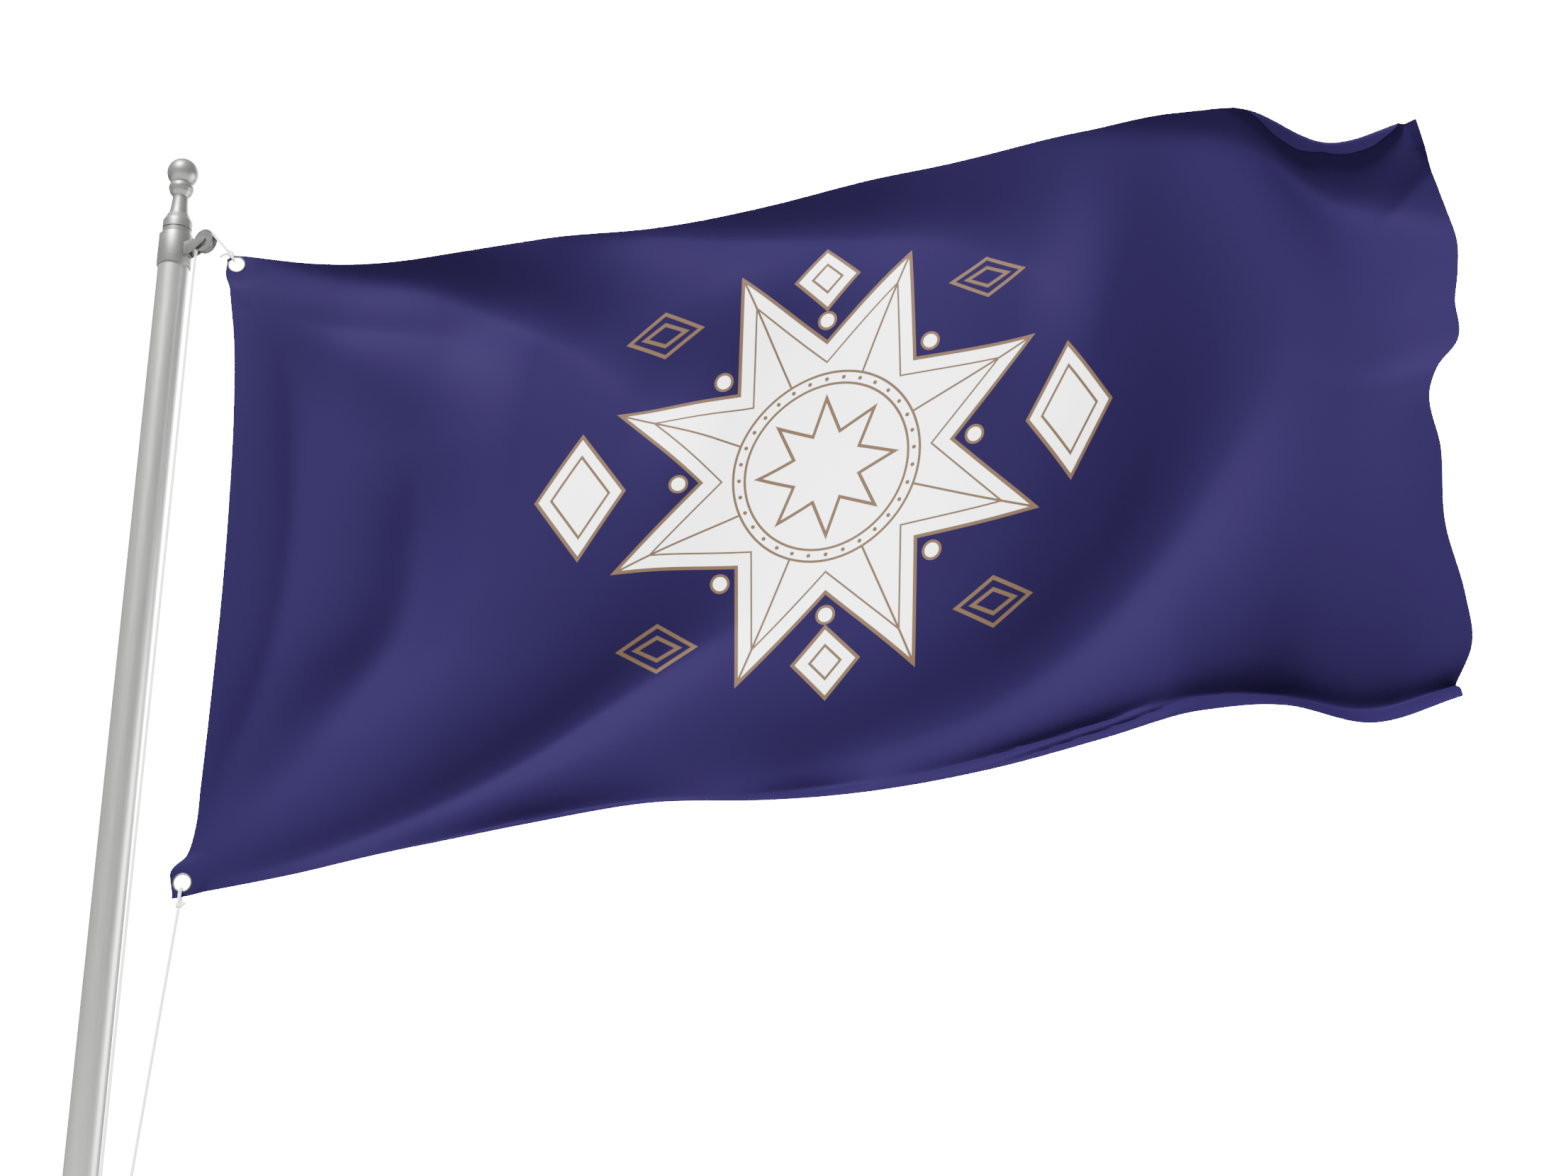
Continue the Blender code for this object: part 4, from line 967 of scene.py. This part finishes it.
def makeClothFinish(designGroup, grain):
    facts = finishes["cloth"]
    material, tree, shader = startMaterial("satinPolyester")
    cut = tree.nodes.new("ShaderNodeUVMap")
    cut.uv_map = "cut"
    figure = useGroup(tree, designGroup)
    tree.links.new(cut.outputs["UV"], figure.inputs["Cut"])
    threads = []
    for scale in ((4.0, 160.0, 1.0), (160.0, 4.0, 1.0)):  # warp and weft slubs
        node = useGroup(tree, grain)
        tree.links.new(stretched(tree, cut.outputs["UV"], scale), node.inputs["Place"])
        node.inputs["Scale"].default_value, node.inputs["Contrast"].default_value = 6.0, 1.3
        threads.append(node)
    sums = Sums(tree)
    weave = sums.put("MULTIPLY", sums.put("ADD", threads[0].outputs["Value"], threads[1].outputs["Value"]), 0.5)
    ground = mixColour(tree, weave, facts["navy"], facts["navyLight"])
    colour = mixColour(tree, figure.outputs["White"], ground, facts["white"])
    colour = mixColour(tree, figure.outputs["Line"], colour, facts["thread"])
    tree.links.new(colour, shader.inputs["Base Color"])
    rough = sums.put("MULTIPLY_ADD", weave, 0.10, facts["roughness"] - 0.05)
    tree.links.new(rough, shader.inputs["Roughness"])
    shader.inputs["Specular IOR Level"].default_value = facts["gloss"]
    shader.inputs["Specular Tint"].default_value = (*facts["glossTint"], 1)
    height = sums.put("ADD", threads[0].outputs["Height"], threads[1].outputs["Height"])
    addBump(tree, shader, height, 0.12, 0.0004)
    return material


def makeMetalFinish(name, grain, scale, streaks):
    facts = finishes[name]
    material, tree, shader = startMaterial(name)
    place = tree.nodes.new("ShaderNodeTexCoord")
    node = useGroup(tree, grain)
    tree.links.new(stretched(tree, place.outputs["Object"], streaks), node.inputs["Place"])
    node.inputs["Scale"].default_value, node.inputs["Contrast"].default_value = scale, 1.6
    tree.links.new(mixColour(tree, node.outputs["Value"], facts["dark"], facts["colour"]), shader.inputs["Base Color"])
    sums = Sums(tree)
    rough = sums.put("MULTIPLY_ADD", node.outputs["Value"], 0.12, facts["roughness"] - 0.06)
    tree.links.new(rough, shader.inputs["Roughness"])
    shader.inputs["Metallic"].default_value = facts["metallic"]
    addBump(tree, shader, node.outputs["Height"], 0.08, 0.0002)
    return material


def makeRopeFinish(grain):
    facts = finishes["rope"]
    material, tree, shader = startMaterial("whiteBraid")
    along = tree.nodes.new("ShaderNodeUVMap")
    along.uv_map = "braid"
    split = tree.nodes.new("ShaderNodeSeparateXYZ")
    tree.links.new(along.outputs["UV"], split.inputs[0])
    sums = Sums(tree)
    # the braid's strand pattern, lowest in the grooves between strands, which follow the tube's relief: it darkens the
    # rope's colour there as painted shade, and also serves as bump height
    around = sums.put("MULTIPLY", split.outputs["X"], math.pi * rope["strands"])
    forward = sums.put("MULTIPLY", split.outputs["Y"], 2 * math.pi / rope["pitch"])
    one = sums.put("ABSOLUTE", sums.put("SINE", sums.put("ADD", around, forward)))
    other = sums.put("ABSOLUTE", sums.put("SINE", sums.put("SUBTRACT", around, forward)))
    strandRiseAndShade = sums.put("POWER", sums.put("MULTIPLY", sums.put("ADD", one, other), 0.5), 0.7)
    tree.links.new(mixColour(tree, strandRiseAndShade, facts["dark"], facts["colour"]), shader.inputs["Base Color"])
    node = useGroup(tree, grain)
    tree.links.new(stretched(tree, along.outputs["UV"], (30.0, 900.0, 1.0)), node.inputs["Place"])
    node.inputs["Scale"].default_value = 4.0
    rough = sums.put("MULTIPLY_ADD", node.outputs["Value"], 0.1, facts["roughness"] - 0.05)
    tree.links.new(rough, shader.inputs["Roughness"])
    addBump(tree, shader, sums.put("ADD", strandRiseAndShade, node.outputs["Height"]), 0.5, 0.0004)
    return material


# Stage

def makeStage():
    deselectAll()
    bpy.ops.mesh.primitive_plane_add(size=12, location=(1, 0, 0))
    floor = bpy.context.object
    floor.name = "floor"
    pale = bpy.data.materials.new("floorPaint")
    pale.use_nodes = True
    shader = pale.node_tree.nodes["Principled BSDF"]
    shader.inputs["Base Color"].default_value = (0.62, 0.62, 0.61, 1)
    shader.inputs["Roughness"].default_value = 0.85
    floor.data.materials.append(pale)
    for name in ("key", "rim", "back"):
        facts = lights[name]
        data = bpy.data.lights.new(name, "AREA")
        data.size, data.energy = facts["size"], facts["power"]
        lamp = bpy.data.objects.new(name, data)
        lamp.location = facts["place"]
        towards = Vector(facts["target"]) - Vector(facts["place"])
        lamp.rotation_euler = towards.to_track_quat("-Z", "Y").to_euler()
        bpy.context.scene.collection.objects.link(lamp)
    world = bpy.data.worlds.new("studio")
    bpy.context.scene.world = world
    world.use_nodes = True
    nodes, links = world.node_tree.nodes, world.node_tree.links
    sky = nodes["Background"]
    sky.inputs["Strength"].default_value = lights["sky"]
    seen = nodes.new("ShaderNodeBackground")
    seen.inputs["Color"].default_value = (1, 1, 1, 1)
    seen.inputs["Strength"].default_value = lights["backdrop"]
    ray = nodes.new("ShaderNodeLightPath")
    mix = nodes.new("ShaderNodeMixShader")
    links.new(ray.outputs["Is Camera Ray"], mix.inputs["Fac"])
    links.new(sky.outputs["Background"], mix.inputs[1])
    links.new(seen.outputs["Background"], mix.inputs[2])
    links.new(mix.outputs["Shader"], nodes["World Output"].inputs["Surface"])
    sky.inputs["Color"].default_value = (1, 1, 1, 1)


makeCamera()
print("camera set")
grain = makeGrainGroup()
clothFinish = makeClothFinish(makeDesignGroup(), grain)
satinMetal = makeMetalFinish("satinMetal", grain, 5.0, (60.0, 60.0, 2.5))
headMetal = makeMetalFinish("headMetal", grain, 40.0, (1.0, 1.0, 6.0))
greyMetal = makeMetalFinish("greyMetal", grain, 60.0, (1.0, 1.0, 1.0))
ringMetal = makeMetalFinish("ringMetal", grain, 90.0, (1.0, 1.0, 1.0))
ropeFinish = makeRopeFinish(grain)
print("finishes made")
makeHalyard(ropeFinish)
makeEyelets(ringMetal)
makeCloth(clothFinish)
makePole(satinMetal)
makeTruck(headMetal)
makeFinial(headMetal)
makeFork(greyMetal)
makeSheave(greyMetal)
makeCleat(satinMetal)
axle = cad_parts["axle_pin"]
axle.data.materials.clear()
axle.data.materials.append(greyMetal)
print("pole, pulley and cleat made")
makeStage()
print("stage set")
